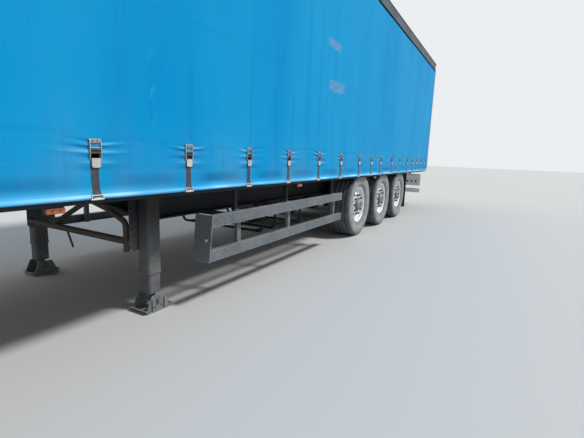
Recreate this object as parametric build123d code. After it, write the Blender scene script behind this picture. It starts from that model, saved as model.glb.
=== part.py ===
from build123d import *
import math
import os

# A three-axle curtain-sided semi trailer, parked on its landing legs.
# Millimetres. +X points to the front, +Y to the left and +Z up. The origin is on the
# ground under the middle of the trailer.

# Overall sizes
length = 13600.0
width = 2550.0
height = 4000.0
front_x = length / 2
rear_x = -length / 2
half_width = width / 2

# Body levels
floor_z = 1200.0
floor_thick = 30.0
rave_low_z = floor_z - 155
hem_z = floor_z - 170
hem_deep = 70.0
hem_flare = 10.0
roof_camber = 11.0
roof_thick = 4.0
eaves_z = height - roof_camber - roof_thick
lip_low_z = eaves_z - 175
cantrail_low_z = eaves_z - 145
cantrail_slot_z = eaves_z - 25
curtain_top_z = eaves_z - 35

# The stack of layers across its side
lip_wall = 3.0
lip_gap = 2.0
curtain_thick = 3.0
cloth_gap = 0.3
curtain_face = half_width - lip_wall - lip_gap
frame_face = curtain_face - curtain_thick - cloth_gap
wall_depth = 66.7
wall_inner = frame_face - wall_depth

# Ends of the body
front_reach = 30.0
front_wall_thick = 60.0
front_outer_x = front_x - front_reach
front_inner_x = front_outer_x - front_wall_thick
door_thick = 35.0
door_seal = 3.0
door_outer_x = rear_x + 45
door_inner_x = door_outer_x + door_thick
portal_rear_x = door_inner_x + door_seal
portal_depth = 77.0
portal_front_x = portal_rear_x + portal_depth
header_low_z = eaves_z - 155
curtain_rear_x = portal_front_x - 15
curtain_front_x = front_inner_x + 8

# Coupling plate and the two-inch kingpin
neck_low_z = floor_z - 130
kingpin_x = front_x - 1600
plate_thick = 10.0
plate_low_z = neck_low_z - plate_thick
plate_rear_x = kingpin_x - 940
plate_front_x = kingpin_x + 1360
kingpin_shoulder_r = 36.5
kingpin_shoulder_long = 35.0
kingpin_neck_r = 25.4
kingpin_neck_long = 36.0
kingpin_collar_r = 35.65
kingpin_collar_long = 12.7

# Chassis
beam_y = half_width - 625
beam_top_z = floor_z - floor_thick
beam_low_z = floor_z - 480
beam_tail_z = floor_z - 340
beam_tail_x = rear_x + 1800
neck_from_x = kingpin_x - 1550
step_x = kingpin_x - 2450
flange_wide = 140.0
flange_thick = 14.0
web_thick = 8.0
plate_half = beam_y + 50
cross_depth = 96.0
cross_tip_depth = 46.0
cross_wide = 45.0
cross_wall = 5.0
cross_count = 27
cross_first_x = portal_front_x + 190
cross_last_x = front_inner_x - 160
cross_pitch = (cross_last_x - cross_first_x) / (cross_count - 1)
cross_places = [cross_first_x + i * cross_pitch for i in range(cross_count)]
rave_wall = 5.0
rave_lip = 42.0

# Sliding pillars and the slats between them
bay_long = (front_inner_x - portal_front_x) / 4
pillar_places = [portal_front_x + i * bay_long for i in (1, 2, 3)]
pillar_wide = 110.0
slat_shares = (0.114, 0.326, 0.538, 0.75)
slat_rows = [floor_z + share * (cantrail_low_z - floor_z) for share in slat_shares]
slat_deep = 100.0
slat_thick = 25.0
slat_seat = 20.0
slat_in_y = wall_inner + 18

# Curtain buckles along each side, as shares of the length from the middle
buckle_shares = (
    0.4309, 0.3757, 0.3213, 0.2669, 0.2125, 0.1566, 0.1029, 0.0471, -0.0059, -0.0625,
    -0.1088, -0.1478, -0.2059, -0.2529, -0.3066, -0.3456, -0.3824, -0.4221, -0.461,
)
buckle_places = [share * length for share in buckle_shares]
strap_wide = 50.0
strap_thick = 2.0
buckle_wide = 80.0
buckle_low_z = hem_z + 235
buckle_top_z = hem_z + 345
lever_low_z = hem_z + 182

# Wheels and axles
axle_first_x = rear_x + 5600
axle_pitch = 1310.0
axle_count = 3
axle_places = [axle_first_x - i * axle_pitch for i in range(axle_count)]
tyre_r = 535.0
tyre_wide = 385.0
tyre_y = half_width - 243
rim_r = 302.0
bead_r = 286.0
rim_half = 158.0
wheel_z = tyre_r
axle_r = 63.5
spindle_r = 40.0
running_gap = 0.05
hub_bore_end = 62.0
drum_r = 216.0
drum_wall = 18.0
wheel_inset = 120.0
disc_thick = 14.0
disc_flat_r = 188.0
disc_weld_y = 38.0
well_r = 252.0
rim_wall = 10.0
hub_nose_r = 140.0
cap_r = 72.0
cap_reach = 54.0
hand_holes = 10
hand_hole_r = 28.0
hub_barrel_r = 118.0
hub_in_r = 110.0
drum_face_y = 36.0
drum_end_y = -200.0
hub_in_y = -62.0

# Air suspension
arm_y = beam_y - 50
hanger_ahead = 520.0
spring_behind = 390.0
arm_eye_z = 560.0
arm_tail_z = 470.0
spring_seat_z = 492.0
spring_seat_thick = 10.0
chamber_y = arm_y - 200

# Mudguards and flaps
mudguard_gap = 38.0
mudguard_thick = 4.0
mudguard_wide = 380.0
flap_x = axle_places[-1] - 600
flap_y = (tyre_y - 187, tyre_y + 203)
flap_low_z = 175.0
flap_top_z = rave_low_z - 5

# Landing legs
leg_x = kingpin_x - 2300
leg_y = beam_y + 190
leg_outer = 134.0
leg_wall = 5.0
leg_corner_r = 30.0
leg_slide_gap = 0.3
leg_outer_low_z = 320.0
leg_top_z = neck_low_z - 10
leg_in_y = leg_y - leg_outer / 2
shaft_z = leg_top_z - 100
leg_shaft_x = leg_x + 15
slider_low_z = 150.0
slider_top_z = 700.0
foot_pin_r = 14.0
foot_pin_z = 95.0
wing_thick = 6.0
wing_half = 135.0
wing_low_z = 505.0
wing_out_y = leg_in_y
wing_in_y = leg_in_y - wing_thick
cheek_low_z = leg_top_z - 210
brace_x = leg_x + 105
brace_tube_z = 578.0
apex_x = leg_x - 30
apex_z = leg_top_z - 212
leg_beam_low_z = leg_top_z - 180

# Side guards
guard_rear_x = axle_first_x + 930
guard_front_x = leg_x - 290
guard_out_y = half_width - 25
guard_rail_thick = 52.0
guard_wall = 4.0
guard_lean = 40.0
guard_rails = ((405.0, 500.0), (700.0, 800.0))
guard_post_shares = (0.059, 0.514, 0.844)
guard_long = guard_front_x - guard_rear_x
guard_posts = [guard_rear_x + share * guard_long for share in guard_post_shares]
guard_in_y = guard_out_y - guard_rail_thick
guard_post_in_y = guard_in_y - 40

# Spare-wheel basket and air tanks
basket_rear_x = axle_first_x + 1200
basket_x = [basket_rear_x + step for step in (0, 700, 1000)]
basket_y = beam_y + 40
basket_low_z = 340.0
tank_places = [x + cross_wide / 2 for x in cross_places[1:4:2]]
tank_r = 138.0
tank_z = beam_top_z - cross_depth - tank_r - 56

# Rear end below the floor, and the side marker lamps
underrun_half = half_width - 145
underrun_x = (rear_x + 60, rear_x + 160)
underrun_z = (370.0, 490.0)
underrun_wall = 5.0
carrier_x = (rear_x + 100, rear_x + 160)
lamp_y = (beam_y + 40, underrun_half)
lamp_z = (570.0, 860.0)
marker_shares = (0.4338, 0.2833, 0.0787, -0.1363, -0.3529)
marker_places = [share * length for share in marker_shares]
marker_y = (half_width - 53, half_width - 21)
marker_z = (rave_low_z - 85, rave_low_z - 45)

# Doors
door_meet_gap = 12.0
door_edge_y = half_width - 32
door_low_z = floor_z - 70
door_top_z = eaves_z - 85
door_high = door_top_z - door_low_z
hinge_r = 13.0
hinge_x = rear_x + hinge_r
hinge_y = half_width - 3
hinge_pin_r = 8.0
hinge_heights = [door_low_z + share * door_high for share in (0.072, 0.336, 0.632, 0.928)]
lock_bar_r = 13.5
lock_bar_places = (0.2655 * door_edge_y, 0.748 * door_edge_y)
guide_heights = [door_low_z + share * door_high for share in (0.06, 0.42, 0.64, 0.89)]
handle_heights = (door_low_z + 490, door_low_z + 570)
handle_reaches = (260.0, 380.0)
keeper_low_z = door_low_z - 68
keeper_high_z = door_top_z + 52
keeper_thick = 14.0


def block(x, y, z):
    """A box between three (low, high) pairs."""
    centre = Pos((x[0] + x[1]) / 2, (y[0] + y[1]) / 2, (z[0] + z[1]) / 2)
    return centre * Box(x[1] - x[0], y[1] - y[0], z[1] - z[0])


def along_y(outline, y_from, y_to):
    """An outline of (x, z) points, solid from y_from to y_to."""
    face = Plane.XZ * Polygon(*outline, align=None)
    return Pos(0, y_from, 0) * extrude(face, y_to - y_from, dir=(0, 1, 0))


def along_x(outline, x_from, x_to):
    """An outline of (y, z) points, solid from x_from to x_to."""
    face = Plane.YZ * Polygon(*outline, align=None)
    return Pos(x_from, 0, 0) * extrude(face, x_to - x_from, dir=(1, 0, 0))


def along_z(outline, z_from, z_to):
    """An outline of (x, y) points, solid from z_from to z_to."""
    face = Polygon(*outline, align=None)
    return Pos(0, 0, z_from) * extrude(face, z_to - z_from, dir=(0, 0, 1))


def rod(start, end, radius):
    """A round bar between two points."""
    axis = Vector(*end) - Vector(*start)
    place = Plane(origin=start, z_dir=axis)
    return place * Cylinder(radius, axis.length, align=(Align.CENTER, Align.CENTER, Align.MIN))


def bent_tube(points, bend_r, tube_r):
    """A round tube along straight runs joined by arcs."""
    path = FilletPolyline(*points, radius=bend_r)
    start = Plane(origin=path @ 0, z_dir=path % 0)
    return sweep(start * Circle(tube_r), path=path)


def turned_y(outline, x, y, z):
    """An outline of (y, radius) points turned about a line along Y."""
    face = Plane.YZ * Polygon(*outline, align=None)
    return Pos(x, y, z) * revolve(face, Axis.Y)


def turned_z(outline, x, y, z):
    """An outline of (radius, z) points turned about a line along Z."""
    face = Plane.XZ * Polygon(*outline, align=None)
    return Pos(x, y, z) * revolve(face, Axis.Z)


def both_sides(shape):
    return [shape, mirror(shape, about=Plane.XZ)]


def write(name, shapes):
    solids = [solid for shape in shapes for solid in shape.solids()]
    export_step(Compound(label=name, children=solids), f"parts/{name}.step")


# Chassis
def main_beam():
    outline = [
        (portal_front_x, beam_top_z),
        (front_inner_x, beam_top_z),
        (front_inner_x, neck_low_z),
        (neck_from_x, neck_low_z),
        (step_x, beam_low_z),
        (beam_tail_x, beam_low_z),
        (portal_front_x, beam_tail_z),
    ]
    whole = Polygon(*outline, align=None)
    pocket = offset(whole, amount=-flange_thick, kind=Kind.INTERSECTION)
    pocket_deep = (flange_wide - web_thick) / 2
    beam = extrude(Plane.XZ * whole, flange_wide / 2, both=True)
    cut = extrude(Plane.XZ * pocket, pocket_deep, dir=(0, 1, 0))
    shaft_hole = rod((leg_shaft_x, -flange_wide, shaft_z), (leg_shaft_x, flange_wide, shaft_z), 24)
    beam -= Pos(0, web_thick / 2, 0) * cut
    beam -= Pos(0, -web_thick / 2 - pocket_deep, 0) * cut
    beam -= shaft_hole
    return Pos(0, beam_y, 0) * beam


def cross_member():
    low = beam_top_z - cross_depth
    tip = beam_top_z - cross_tip_depth
    knee = beam_y + flange_wide / 2 + 40
    outline = [
        (-wall_inner, beam_top_z),
        (wall_inner, beam_top_z),
        (wall_inner, tip),
        (knee + 60, tip),
        (knee, low),
        (-knee, low),
        (-knee - 60, tip),
        (-wall_inner, tip),
    ]
    whole = Polygon(*outline, align=None)
    pocket = offset(whole, amount=-cross_wall, kind=Kind.INTERSECTION)
    bar = extrude(Plane.YZ * whole, cross_wide, dir=(1, 0, 0))
    return bar - Pos(cross_wall, 0, 0) * extrude(Plane.YZ * pocket, cross_wide, dir=(1, 0, 0))


def cross_members(beams):
    member = cross_member()
    solids = []
    for x in cross_places:
        cut = Pos(x, 0, 0) * member
        for beam in beams:
            cut -= beam
        solids.append(cut)
    return solids


def side_rave():
    outer = frame_face
    inner = wall_inner
    lip = outer - rave_lip
    outline = [
        (inner, floor_z),
        (outer, floor_z),
        (outer, rave_low_z),
        (lip, rave_low_z),
        (lip, rave_low_z + rave_wall),
        (outer - rave_wall, rave_low_z + rave_wall),
        (outer - rave_wall, floor_z - rave_wall),
        (inner + rave_wall, floor_z - rave_wall),
        (inner + rave_wall, beam_top_z - cross_tip_depth),
        (inner, beam_top_z - cross_tip_depth),
    ]
    return along_x(outline, portal_front_x, front_inner_x)


def coupling_plate():
    cut = 180.0
    outline = [
        (plate_rear_x, -plate_half),
        (plate_front_x - cut, -plate_half),
        (plate_front_x, -plate_half + cut),
        (plate_front_x, plate_half - cut),
        (plate_front_x - cut, plate_half),
        (plate_rear_x, plate_half),
    ]
    return along_z(outline, plate_low_z, neck_low_z)


def kingpin():
    shoulder = -kingpin_shoulder_long
    neck = shoulder - kingpin_neck_long
    end = neck - kingpin_collar_long
    chamfer = 3.0
    outline = [
        (0, 0),
        (kingpin_shoulder_r, 0),
        (kingpin_shoulder_r, shoulder),
        (kingpin_neck_r, shoulder),
        (kingpin_neck_r, neck),
        (kingpin_collar_r, neck),
        (kingpin_collar_r, end),
        (kingpin_collar_r - chamfer, end - chamfer),
        (0, end - chamfer),
    ]
    return turned_z(outline, kingpin_x, 0, plate_low_z)


# Body
def front_wall():
    corner_r = 50.0
    rib_pitch = (lip_low_z - floor_z) / 8.7
    rib_deep = 6.0
    post = 90.0
    sketch = Rectangle(front_wall_thick, 2 * frame_face)
    sketch = Pos(front_inner_x + front_wall_thick / 2, 0) * sketch
    front_corners = sketch.vertices().group_by(Axis.X)[-1]
    sketch = fillet(front_corners, corner_r)
    wall = Pos(0, 0, rave_low_z) * extrude(sketch, eaves_z - rave_low_z, dir=(0, 0, 1))
    inside = block(
        (front_inner_x - 1, front_outer_x - 25),
        (-wall_inner + post, wall_inner - post),
        (floor_z, lip_low_z),
    )
    wall -= inside
    for i in range(8):
        z = floor_z + 180 + i * rib_pitch
        groove = block(
            (front_outer_x - rib_deep, front_outer_x + 1),
            (-wall_inner + post, wall_inner - post),
            (z, z + 40),
        )
        wall -= groove
    return wall


def hinge_lug(z, low, high):
    knuckle = Pos(hinge_x, hinge_y, 0) * Circle(hinge_r)
    web = Polygon(
        (portal_rear_x, door_edge_y + 6),
        (portal_rear_x, frame_face),
        (hinge_x, hinge_y + hinge_r),
        (hinge_x - 5, hinge_y - hinge_r + 2),
        align=None,
    )
    return Pos(0, 0, z + low) * extrude(knuckle + web, high - low, dir=(0, 0, 1))


def hinge_base(z):
    lugs = hinge_lug(z, -36, -24) + hinge_lug(z, 24, 36)
    pin = Pos(hinge_x, hinge_y, z - 36) * Cylinder(
        hinge_pin_r, 72, align=(Align.CENTER, Align.CENTER, Align.MIN)
    )
    return lugs + pin


def rear_frame():
    """Pillars, sill and header round the doorway, with hinge lugs and lock keepers."""
    x = (portal_rear_x, portal_front_x)
    inner = frame_face - 100
    pillar = block(x, (inner, frame_face), (rave_low_z, eaves_z))
    sill = block(x, (-inner, inner), (rave_low_z, floor_z))
    header = block(x, (-inner, inner), (header_low_z, eaves_z))
    solids = both_sides(pillar) + [sill, header]
    for z in hinge_heights:
        solids += both_sides(hinge_base(z))
    keeper_x = (door_outer_x - 12, portal_rear_x)
    for y in lock_bar_places:
        for low in (keeper_low_z, keeper_high_z):
            keeper = block(keeper_x, (y - 40, y + 40), (low, low + keeper_thick))
            solids += both_sides(keeper)
    return solids


def cantrail():
    lip_inner = half_width - lip_wall
    outline = [
        (wall_inner, cantrail_low_z),
        (frame_face, cantrail_low_z),
        (frame_face, cantrail_slot_z),
        (lip_inner, cantrail_slot_z),
        (lip_inner, lip_low_z),
        (half_width, lip_low_z),
        (half_width, eaves_z),
        (wall_inner, eaves_z),
    ]
    return along_x(outline, portal_front_x, front_inner_x)


def roof_arc(half, base_z, rise):
    return ThreePointArc((-half, base_z), (0, base_z + rise), (half, base_z))


def roof_skin():
    low = roof_arc(half_width, eaves_z, roof_camber)
    high = roof_arc(half_width, eaves_z + roof_thick, roof_camber)
    edges = [
        low,
        Line((half_width, eaves_z), (half_width, eaves_z + roof_thick)),
        high,
        Line((-half_width, eaves_z + roof_thick), (-half_width, eaves_z)),
    ]
    face = Plane.YZ * make_face(edges)
    long = front_outer_x - portal_rear_x
    return Pos(portal_rear_x, 0, 0) * extrude(face, long, dir=(1, 0, 0))


def roof_bow():
    deep = 28.0
    wide = 50.0
    rise = roof_camber * (1 - (wall_inner / half_width) ** 2)
    top_z = eaves_z + rise - cloth_gap
    crown = roof_camber - rise
    edges = [
        roof_arc(wall_inner, top_z, crown),
        Line((wall_inner, top_z), (wall_inner, top_z - deep)),
        roof_arc(wall_inner, top_z - deep, crown),
        Line((-wall_inner, top_z - deep), (-wall_inner, top_z)),
    ]
    return extrude(Plane.YZ * make_face(edges), wide, dir=(1, 0, 0))


def roof_bows():
    bow = roof_bow()
    first = portal_front_x + 300
    last = front_inner_x - 350
    count = 19
    step = (last - first) / (count - 1)
    return [Pos(first + i * step, 0, 0) * bow for i in range(count)]


def side_pillar(x):
    y = (wall_inner, frame_face)
    post = block((x - pillar_wide / 2, x + pillar_wide / 2), y, (floor_z, cantrail_low_z))
    slot_y = (slat_in_y - cloth_gap, slat_in_y + slat_thick + cloth_gap)
    for side in (-1, 1):
        face = x + side * pillar_wide / 2
        inner = face - side * (slat_seat + 5)
        post -= block(sorted((face, inner)), slot_y, (floor_z, cantrail_low_z))
    return post


def side_slats():
    y = (slat_in_y, slat_in_y + slat_thick)
    ends = [portal_front_x, *pillar_places, front_inner_x]
    slats = []
    for row in slat_rows:
        for i in range(len(ends) - 1):
            reach = pillar_wide / 2 - slat_seat
            low = ends[i] + (reach if i else 0)
            high = ends[i + 1] - (reach if i + 2 < len(ends) else 0)
            slats.append(block((low, high), y, (row, row + slat_deep)))
    return slats


def curtain():
    inner = frame_face + cloth_gap
    outer = curtain_face
    outline = [
        (inner, curtain_top_z),
        (inner, hem_z + hem_deep),
        (inner + hem_flare, hem_z),
        (outer + hem_flare, hem_z),
        (outer, hem_z + hem_deep),
        (outer, curtain_top_z),
    ]
    return along_x(outline, curtain_rear_x, curtain_front_x)


def buckle():
    """A webbing strap down to its hook under the floor rail, with its over-centre buckle."""
    back = curtain_face + cloth_gap
    flare = back + hem_flare
    hook_in = frame_face - 20
    hook = 3.0
    outline = [
        (back, buckle_low_z + 20),
        (back, hem_z + hem_deep),
        (flare, hem_z),
        (flare, hem_z - hook),
        (hook_in, hem_z - hook),
        (hook_in, rave_low_z),
        (hook_in - hook, rave_low_z),
        (hook_in - hook, hem_z - 2 * hook),
        (flare + strap_thick, hem_z - 2 * hook),
        (flare + strap_thick, hem_z),
        (back + strap_thick, hem_z + hem_deep),
        (back + strap_thick, buckle_low_z + 20),
    ]
    band = along_x(outline, -strap_wide / 2, strap_wide / 2)
    body = [
        (back, buckle_low_z),
        (back, buckle_top_z),
        (back + 5, buckle_top_z),
        (back + 14, buckle_top_z - 18),
        (back + 14, buckle_low_z + 30),
        (back + 20, buckle_low_z + 10),
        (back + 16, lever_low_z),
        (back + 12, lever_low_z),
        (back + 8, buckle_low_z),
    ]
    head = along_x(body, -buckle_wide / 2, buckle_wide / 2)
    return band + head


def buckles():
    one = buckle()
    return [Pos(x, 0, 0) * one for x in buckle_places]


# Landing legs
def leg_tube():
    """Outer tube with its bottom collar, top cap and the wide mounting plate."""
    corner_r = leg_corner_r
    high = leg_top_z - leg_outer_low_z
    side = leg_outer
    tube = Pos(0, 0, leg_outer_low_z) * extrude(RectangleRounded(side, side, corner_r), high)
    collar = Pos(0, 0, leg_outer_low_z) * extrude(
        RectangleRounded(side + 8, side + 8, corner_r + 4), 22
    )
    bore_side = side - 2 * leg_wall
    bore = extrude(RectangleRounded(bore_side, bore_side, corner_r - leg_wall), high - 40)
    tube = tube + collar - Pos(0, 0, leg_outer_low_z) * bore
    cap_half = side / 2 + 5
    cap = block((-cap_half, cap_half), (-cap_half, cap_half), (leg_top_z, leg_top_z + 6))
    tube = Pos(leg_x, leg_y, 0) * (tube + cap)
    wing = along_y(
        [
            (leg_x - wing_half, leg_top_z - 10),
            (leg_x + wing_half, leg_top_z - 10),
            (leg_x + wing_half, wing_low_z + 30),
            (leg_x + wing_half - 30, wing_low_z),
            (leg_x - wing_half + 30, wing_low_z),
            (leg_x - wing_half, wing_low_z + 30),
        ],
        wing_in_y,
        wing_out_y,
    )
    return tube + wing


def leg_bracket():
    """Two cheeks that carry one leg's mounting plate from the main beam."""
    web_face = beam_y + web_thick / 2
    flange_edge = beam_y + flange_wide / 2
    outline = [
        (web_face, leg_top_z - 20),
        (web_face, cheek_low_z),
        (flange_edge, cheek_low_z),
        (flange_edge, beam_low_z + 20),
        (wing_in_y, beam_low_z - 20),
        (wing_in_y, leg_top_z - 20),
    ]
    cheeks = []
    for x in (leg_x - 100, leg_x + 92):
        cheeks.append(along_x(outline, x, x + 8))
    return cheeks


def leg_slider():
    """Inner tube with the eye for the foot's pin."""
    side = leg_outer - 2 * leg_wall - 2 * leg_slide_gap
    low = slider_low_z
    corner_r = leg_corner_r - leg_wall - leg_slide_gap
    tube = Pos(0, 0, low) * extrude(RectangleRounded(side, side, corner_r), slider_top_z - low)
    eye_half = 22.0
    eye = block((-30, 30), (-eye_half, eye_half), (foot_pin_z, low))
    eye += rod((0, -eye_half, foot_pin_z), (0, eye_half, foot_pin_z), 30)
    eye -= rod((0, -eye_half - 1, foot_pin_z), (0, eye_half + 1, foot_pin_z), foot_pin_r + 0.3)
    return Pos(leg_x, leg_y, 0) * (tube + eye)


def leg_foot():
    """A sand shoe: a sole with turned-up ends between two ribbed cheeks, on one pin."""
    half_long = 140.0
    half_wide = 100.0
    base = 10.0
    cheek_y = 80.0
    cheek = 10.0
    cheek_top_z = foot_pin_z + 44
    sole = [
        (-half_long, 34),
        (-half_long + 30, 0),
        (half_long - 30, 0),
        (half_long, 34),
        (half_long - 8, 38),
        (half_long - 34, base),
        (-half_long + 34, base),
        (-half_long + 8, 38),
    ]
    foot = along_y(sole, -half_wide, half_wide)
    side = along_y(
        [(-122, base - 1), (122, base - 1), (62, cheek_top_z), (-62, cheek_top_z)], 0, cheek
    )
    side = fillet(side.edges().filter_by(Axis.Y).group_by(Axis.Z)[-1], 20)
    for y in (-cheek_y - cheek, cheek_y):
        foot += Pos(0, y, 0) * side
        for x in (-68, 56):
            low_y = y - 14 if y < 0 else y + cheek
            foot += block((x, x + 12), (low_y, low_y + 14), (base - 1, cheek_top_z - 30))
    pin_end = cheek_y + cheek + 12
    foot += rod((0, -pin_end, foot_pin_z), (0, pin_end, foot_pin_z), foot_pin_r)
    return Pos(leg_x, leg_y, 0) * foot


def leg_bracing():
    """Cross tube, arched near strut, straight far strut, middle hanger and a hanging rod."""
    tube_r = 29.0
    end_y = wing_in_y
    foot_y = wing_in_y - 77
    cross = rod((brace_x, -end_y, brace_tube_z), (brace_x, end_y, brace_tube_z), tube_r)
    arch = bent_tube(
        [
            (apex_x, 0, apex_z),
            (brace_x - 20, foot_y - 500, apex_z + 24),
            (brace_x, foot_y - 220, apex_z - 26),
            (brace_x, foot_y, apex_z - 113),
            (brace_x, foot_y, wing_low_z - 15),
        ],
        (110, 300, 60),
        24,
    )
    strut = rod((apex_x, 0, apex_z), (brace_x, 320 - foot_y, brace_tube_z + 10), 24)
    hanger = block((apex_x - 12, apex_x + 12), (-70, 70), (apex_z, leg_beam_low_z))
    stub = rod((brace_x, -150, brace_tube_z), (brace_x, -60, brace_tube_z - 165), 9)
    return [cross + arch + strut + hanger + stub]


def leg_beam():
    """Deep cross beam over the legs, between the main beams."""
    low_z = leg_beam_low_z
    half = beam_y - web_thick / 2
    outline = [(-60, neck_low_z), (0, neck_low_z), (0, low_z), (-60, low_z)]
    whole = along_y([(apex_x + x + 30, z) for x, z in outline], -half, half)
    pocket = block((apex_x - 22, apex_x + 40), (-half - 1, half + 1), (low_z + 8, neck_low_z - 8))
    return whole - pocket


def leg_gear():
    """Gear case on the right leg, the cross shaft and the folded crank."""
    out_y = leg_y + leg_outer / 2
    case = block((leg_x - 60, leg_x + 75), (-out_y - 70, -out_y), (shaft_z - 60, shaft_z + 60))
    case = fillet(case.edges().filter_by(Axis.Y), 18)
    shaft = rod((leg_shaft_x, -wing_in_y, shaft_z), (leg_shaft_x, wing_in_y, shaft_z), 12.5)
    stub_end = -out_y - 130
    crank = rod((leg_shaft_x, -out_y - 60, shaft_z), (leg_shaft_x, stub_end, shaft_z), 12)
    grip_x = leg_shaft_x - 285
    arm_z = (shaft_z - 12, shaft_z + 12)
    arm = block((grip_x - 15, leg_shaft_x + 14), (stub_end - 8, stub_end), arm_z)
    grip = rod((grip_x, stub_end - 120, shaft_z), (grip_x, stub_end - 4, shaft_z), 13)
    return [case + crank + arm + grip, shaft]


# Side guards
def guard_nose_x(z):
    """Front end of the guard, which leans forward towards its foot."""
    middle = (guard_rails[0][0] + guard_rails[1][1]) / 2
    return guard_front_x + guard_lean * (middle - z) / (guard_rails[1][1] - guard_rails[0][0])


def side_guard():
    """Two channel rails, three posts between them and the turned-in front plate."""
    wall = guard_wall
    guard = None
    for low, high in guard_rails:
        ends = (guard_nose_x(low), guard_nose_x(high))
        rail = along_y(
            [(guard_rear_x, low), (ends[0], low), (ends[1], high), (guard_rear_x, high)],
            guard_in_y,
            guard_out_y,
        )
        rail -= along_y(
            [
                (guard_rear_x - 1, low + wall),
                (ends[0] - wall, low + wall),
                (ends[1] - wall, high - wall),
                (guard_rear_x - 1, high - wall),
            ],
            guard_in_y - 1,
            guard_out_y - wall,
        )
        guard = rail if guard is None else guard + rail
    low = guard_rails[0][0] - 8
    high = guard_rails[1][1]
    ends = (guard_nose_x(low), guard_nose_x(high))
    guard += along_y(
        [(ends[0] - wall, low), (ends[0] + 2, low), (ends[1] + 2, high), (ends[1] - wall, high)],
        guard_out_y - 190,
        guard_out_y,
    )
    for x in guard_posts:
        guard += block((x - 25, x + 25), (guard_post_in_y, guard_in_y), (guard_rails[0][0], high))
    return guard


def guard_hangers():
    """Uprights from the floor rail to the guard's posts, with arms to the main beam."""
    hangers = []
    for x in guard_posts:
        upright_y = (guard_post_in_y - 34, guard_post_in_y)
        upright = block((x - 20, x + 20), upright_y, (guard_rails[1][0] - 40, rave_low_z))
        arm_y_span = (beam_y + flange_wide / 2, guard_post_in_y - 34)
        arm = block((x - 20, x + 20), arm_y_span, (beam_low_z, beam_low_z + 40))
        foot_y_span = (guard_post_in_y - 34, frame_face - rave_lip + 15)
        foot = block((x - 60, x + 60), foot_y_span, (rave_low_z - 6, rave_low_z))
        hangers.append(upright + arm + foot)
    return hangers


# Running gear
def tyre():
    """A wide single tyre: tread, rounded shoulders and bulged side walls."""
    half = tyre_wide / 2
    tread = (half - 42.5, tyre_r)
    turn = (half - 16.5, tyre_r - 12)
    shoulder = (half - 7.5, tyre_r - 38)
    bulge = (half, (tyre_r + rim_r) / 2)
    toe = (rim_half + 5, rim_r + 6)
    heel = (rim_half - 10, rim_r + 4)
    seat = (rim_half - 10, bead_r + 0.3)

    def back(point):
        return (-point[0], point[1])

    edges = [
        Line(back(tread), tread),
        ThreePointArc(tread, turn, shoulder),
        ThreePointArc(shoulder, bulge, toe),
        Line(toe, heel),
        Line(heel, seat),
        Line(seat, back(seat)),
        Line(back(seat), back(heel)),
        Line(back(heel), back(toe)),
        ThreePointArc(back(toe), back(bulge), back(shoulder)),
        ThreePointArc(back(shoulder), back(turn), back(tread)),
    ]
    return revolve(Plane.YZ * make_face(edges), Axis.Y)


def wheel_hub():
    """Steel wheel whose disc bulges outwards, with hand holes, hub, cap and brake drum."""
    lip_in = rim_half - 8
    barrel_r = well_r - rim_wall
    nut_face = wheel_inset + disc_thick
    weld_end = disc_weld_y + disc_thick
    cap_end = nut_face + cap_reach
    drum_in_r = drum_r - drum_wall
    outline = [
        (rim_half, rim_r),
        (lip_in, rim_r),
        (lip_in - 2, bead_r),
        (98, bead_r - 4),
        (66, well_r),
        (-52, well_r),
        (-84, bead_r - 4),
        (2 - lip_in, bead_r),
        (-lip_in, rim_r),
        (-rim_half, rim_r),
        (-rim_half, rim_r - 12),
        (4 - lip_in, bead_r - 9),
        (-88, bead_r - 14),
        (-56, barrel_r),
        (disc_weld_y, barrel_r),
        (disc_weld_y, barrel_r - 11),
        (disc_weld_y + 32, barrel_r - 16),
        (wheel_inset - 16, disc_flat_r + 17),
        (wheel_inset, disc_flat_r - 3),
        (wheel_inset, disc_flat_r - 16),
        (wheel_inset - 22, disc_flat_r - 16),
        (wheel_inset - 28, hub_barrel_r),
        (drum_face_y, hub_barrel_r),
        (drum_face_y - 8, drum_r),
        (drum_end_y, drum_r),
        (drum_end_y, drum_in_r),
        (drum_face_y - 18, drum_in_r),
        (drum_face_y - 12, hub_in_r),
        (hub_in_y, hub_in_r),
        (hub_in_y, spindle_r + running_gap),
        (hub_bore_end, spindle_r + running_gap),
        (hub_bore_end, 0),
        (cap_end, 0),
        (cap_end, cap_r - 10),
        (cap_end - 8, cap_r),
        (nut_face + 30, cap_r + 4),
        (nut_face + 30, cap_r + 18),
        (nut_face + 5, cap_r + 26),
        (nut_face + 5, hub_nose_r - 1),
        (nut_face, hub_nose_r + 1),
        (nut_face, disc_flat_r),
        (nut_face - 22, disc_flat_r + 29),
        (nut_face - 52, barrel_r - 8),
        (weld_end, barrel_r),
        (70, barrel_r),
        (102, bead_r - 14),
        (lip_in - 4, bead_r - 9),
        (rim_half, rim_r - 12),
    ]
    wheel = revolve(Plane.YZ * Polygon(*outline, align=None), Axis.Y)
    hole_ring = barrel_r - 11 - hand_hole_r
    for i in range(hand_holes):
        angle = 2 * math.pi * i / hand_holes
        x = hole_ring * math.sin(angle)
        z = hole_ring * math.cos(angle)
        wheel -= rod((x, drum_face_y + 3, z), (x, nut_face + 4, z), hand_hole_r)
    return wheel


def axle_beam(x):
    """Axle tube with its brake plates and the two spindles."""
    plate_y = tyre_y - 190
    shoulder = tyre_y - 64
    outline = [
        (0, 0),
        (0, axle_r),
        (plate_y, axle_r),
        (plate_y, 190),
        (plate_y + 12, 190),
        (plate_y + 12, 60),
        (shoulder, 56),
        (shoulder, spindle_r),
        (tyre_y + hub_bore_end - 6, spindle_r),
        (tyre_y + hub_bore_end - 6, 0),
    ]
    half = turned_y(outline, x, 0, wheel_z)
    return half + mirror(half, about=Plane.XZ)


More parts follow.
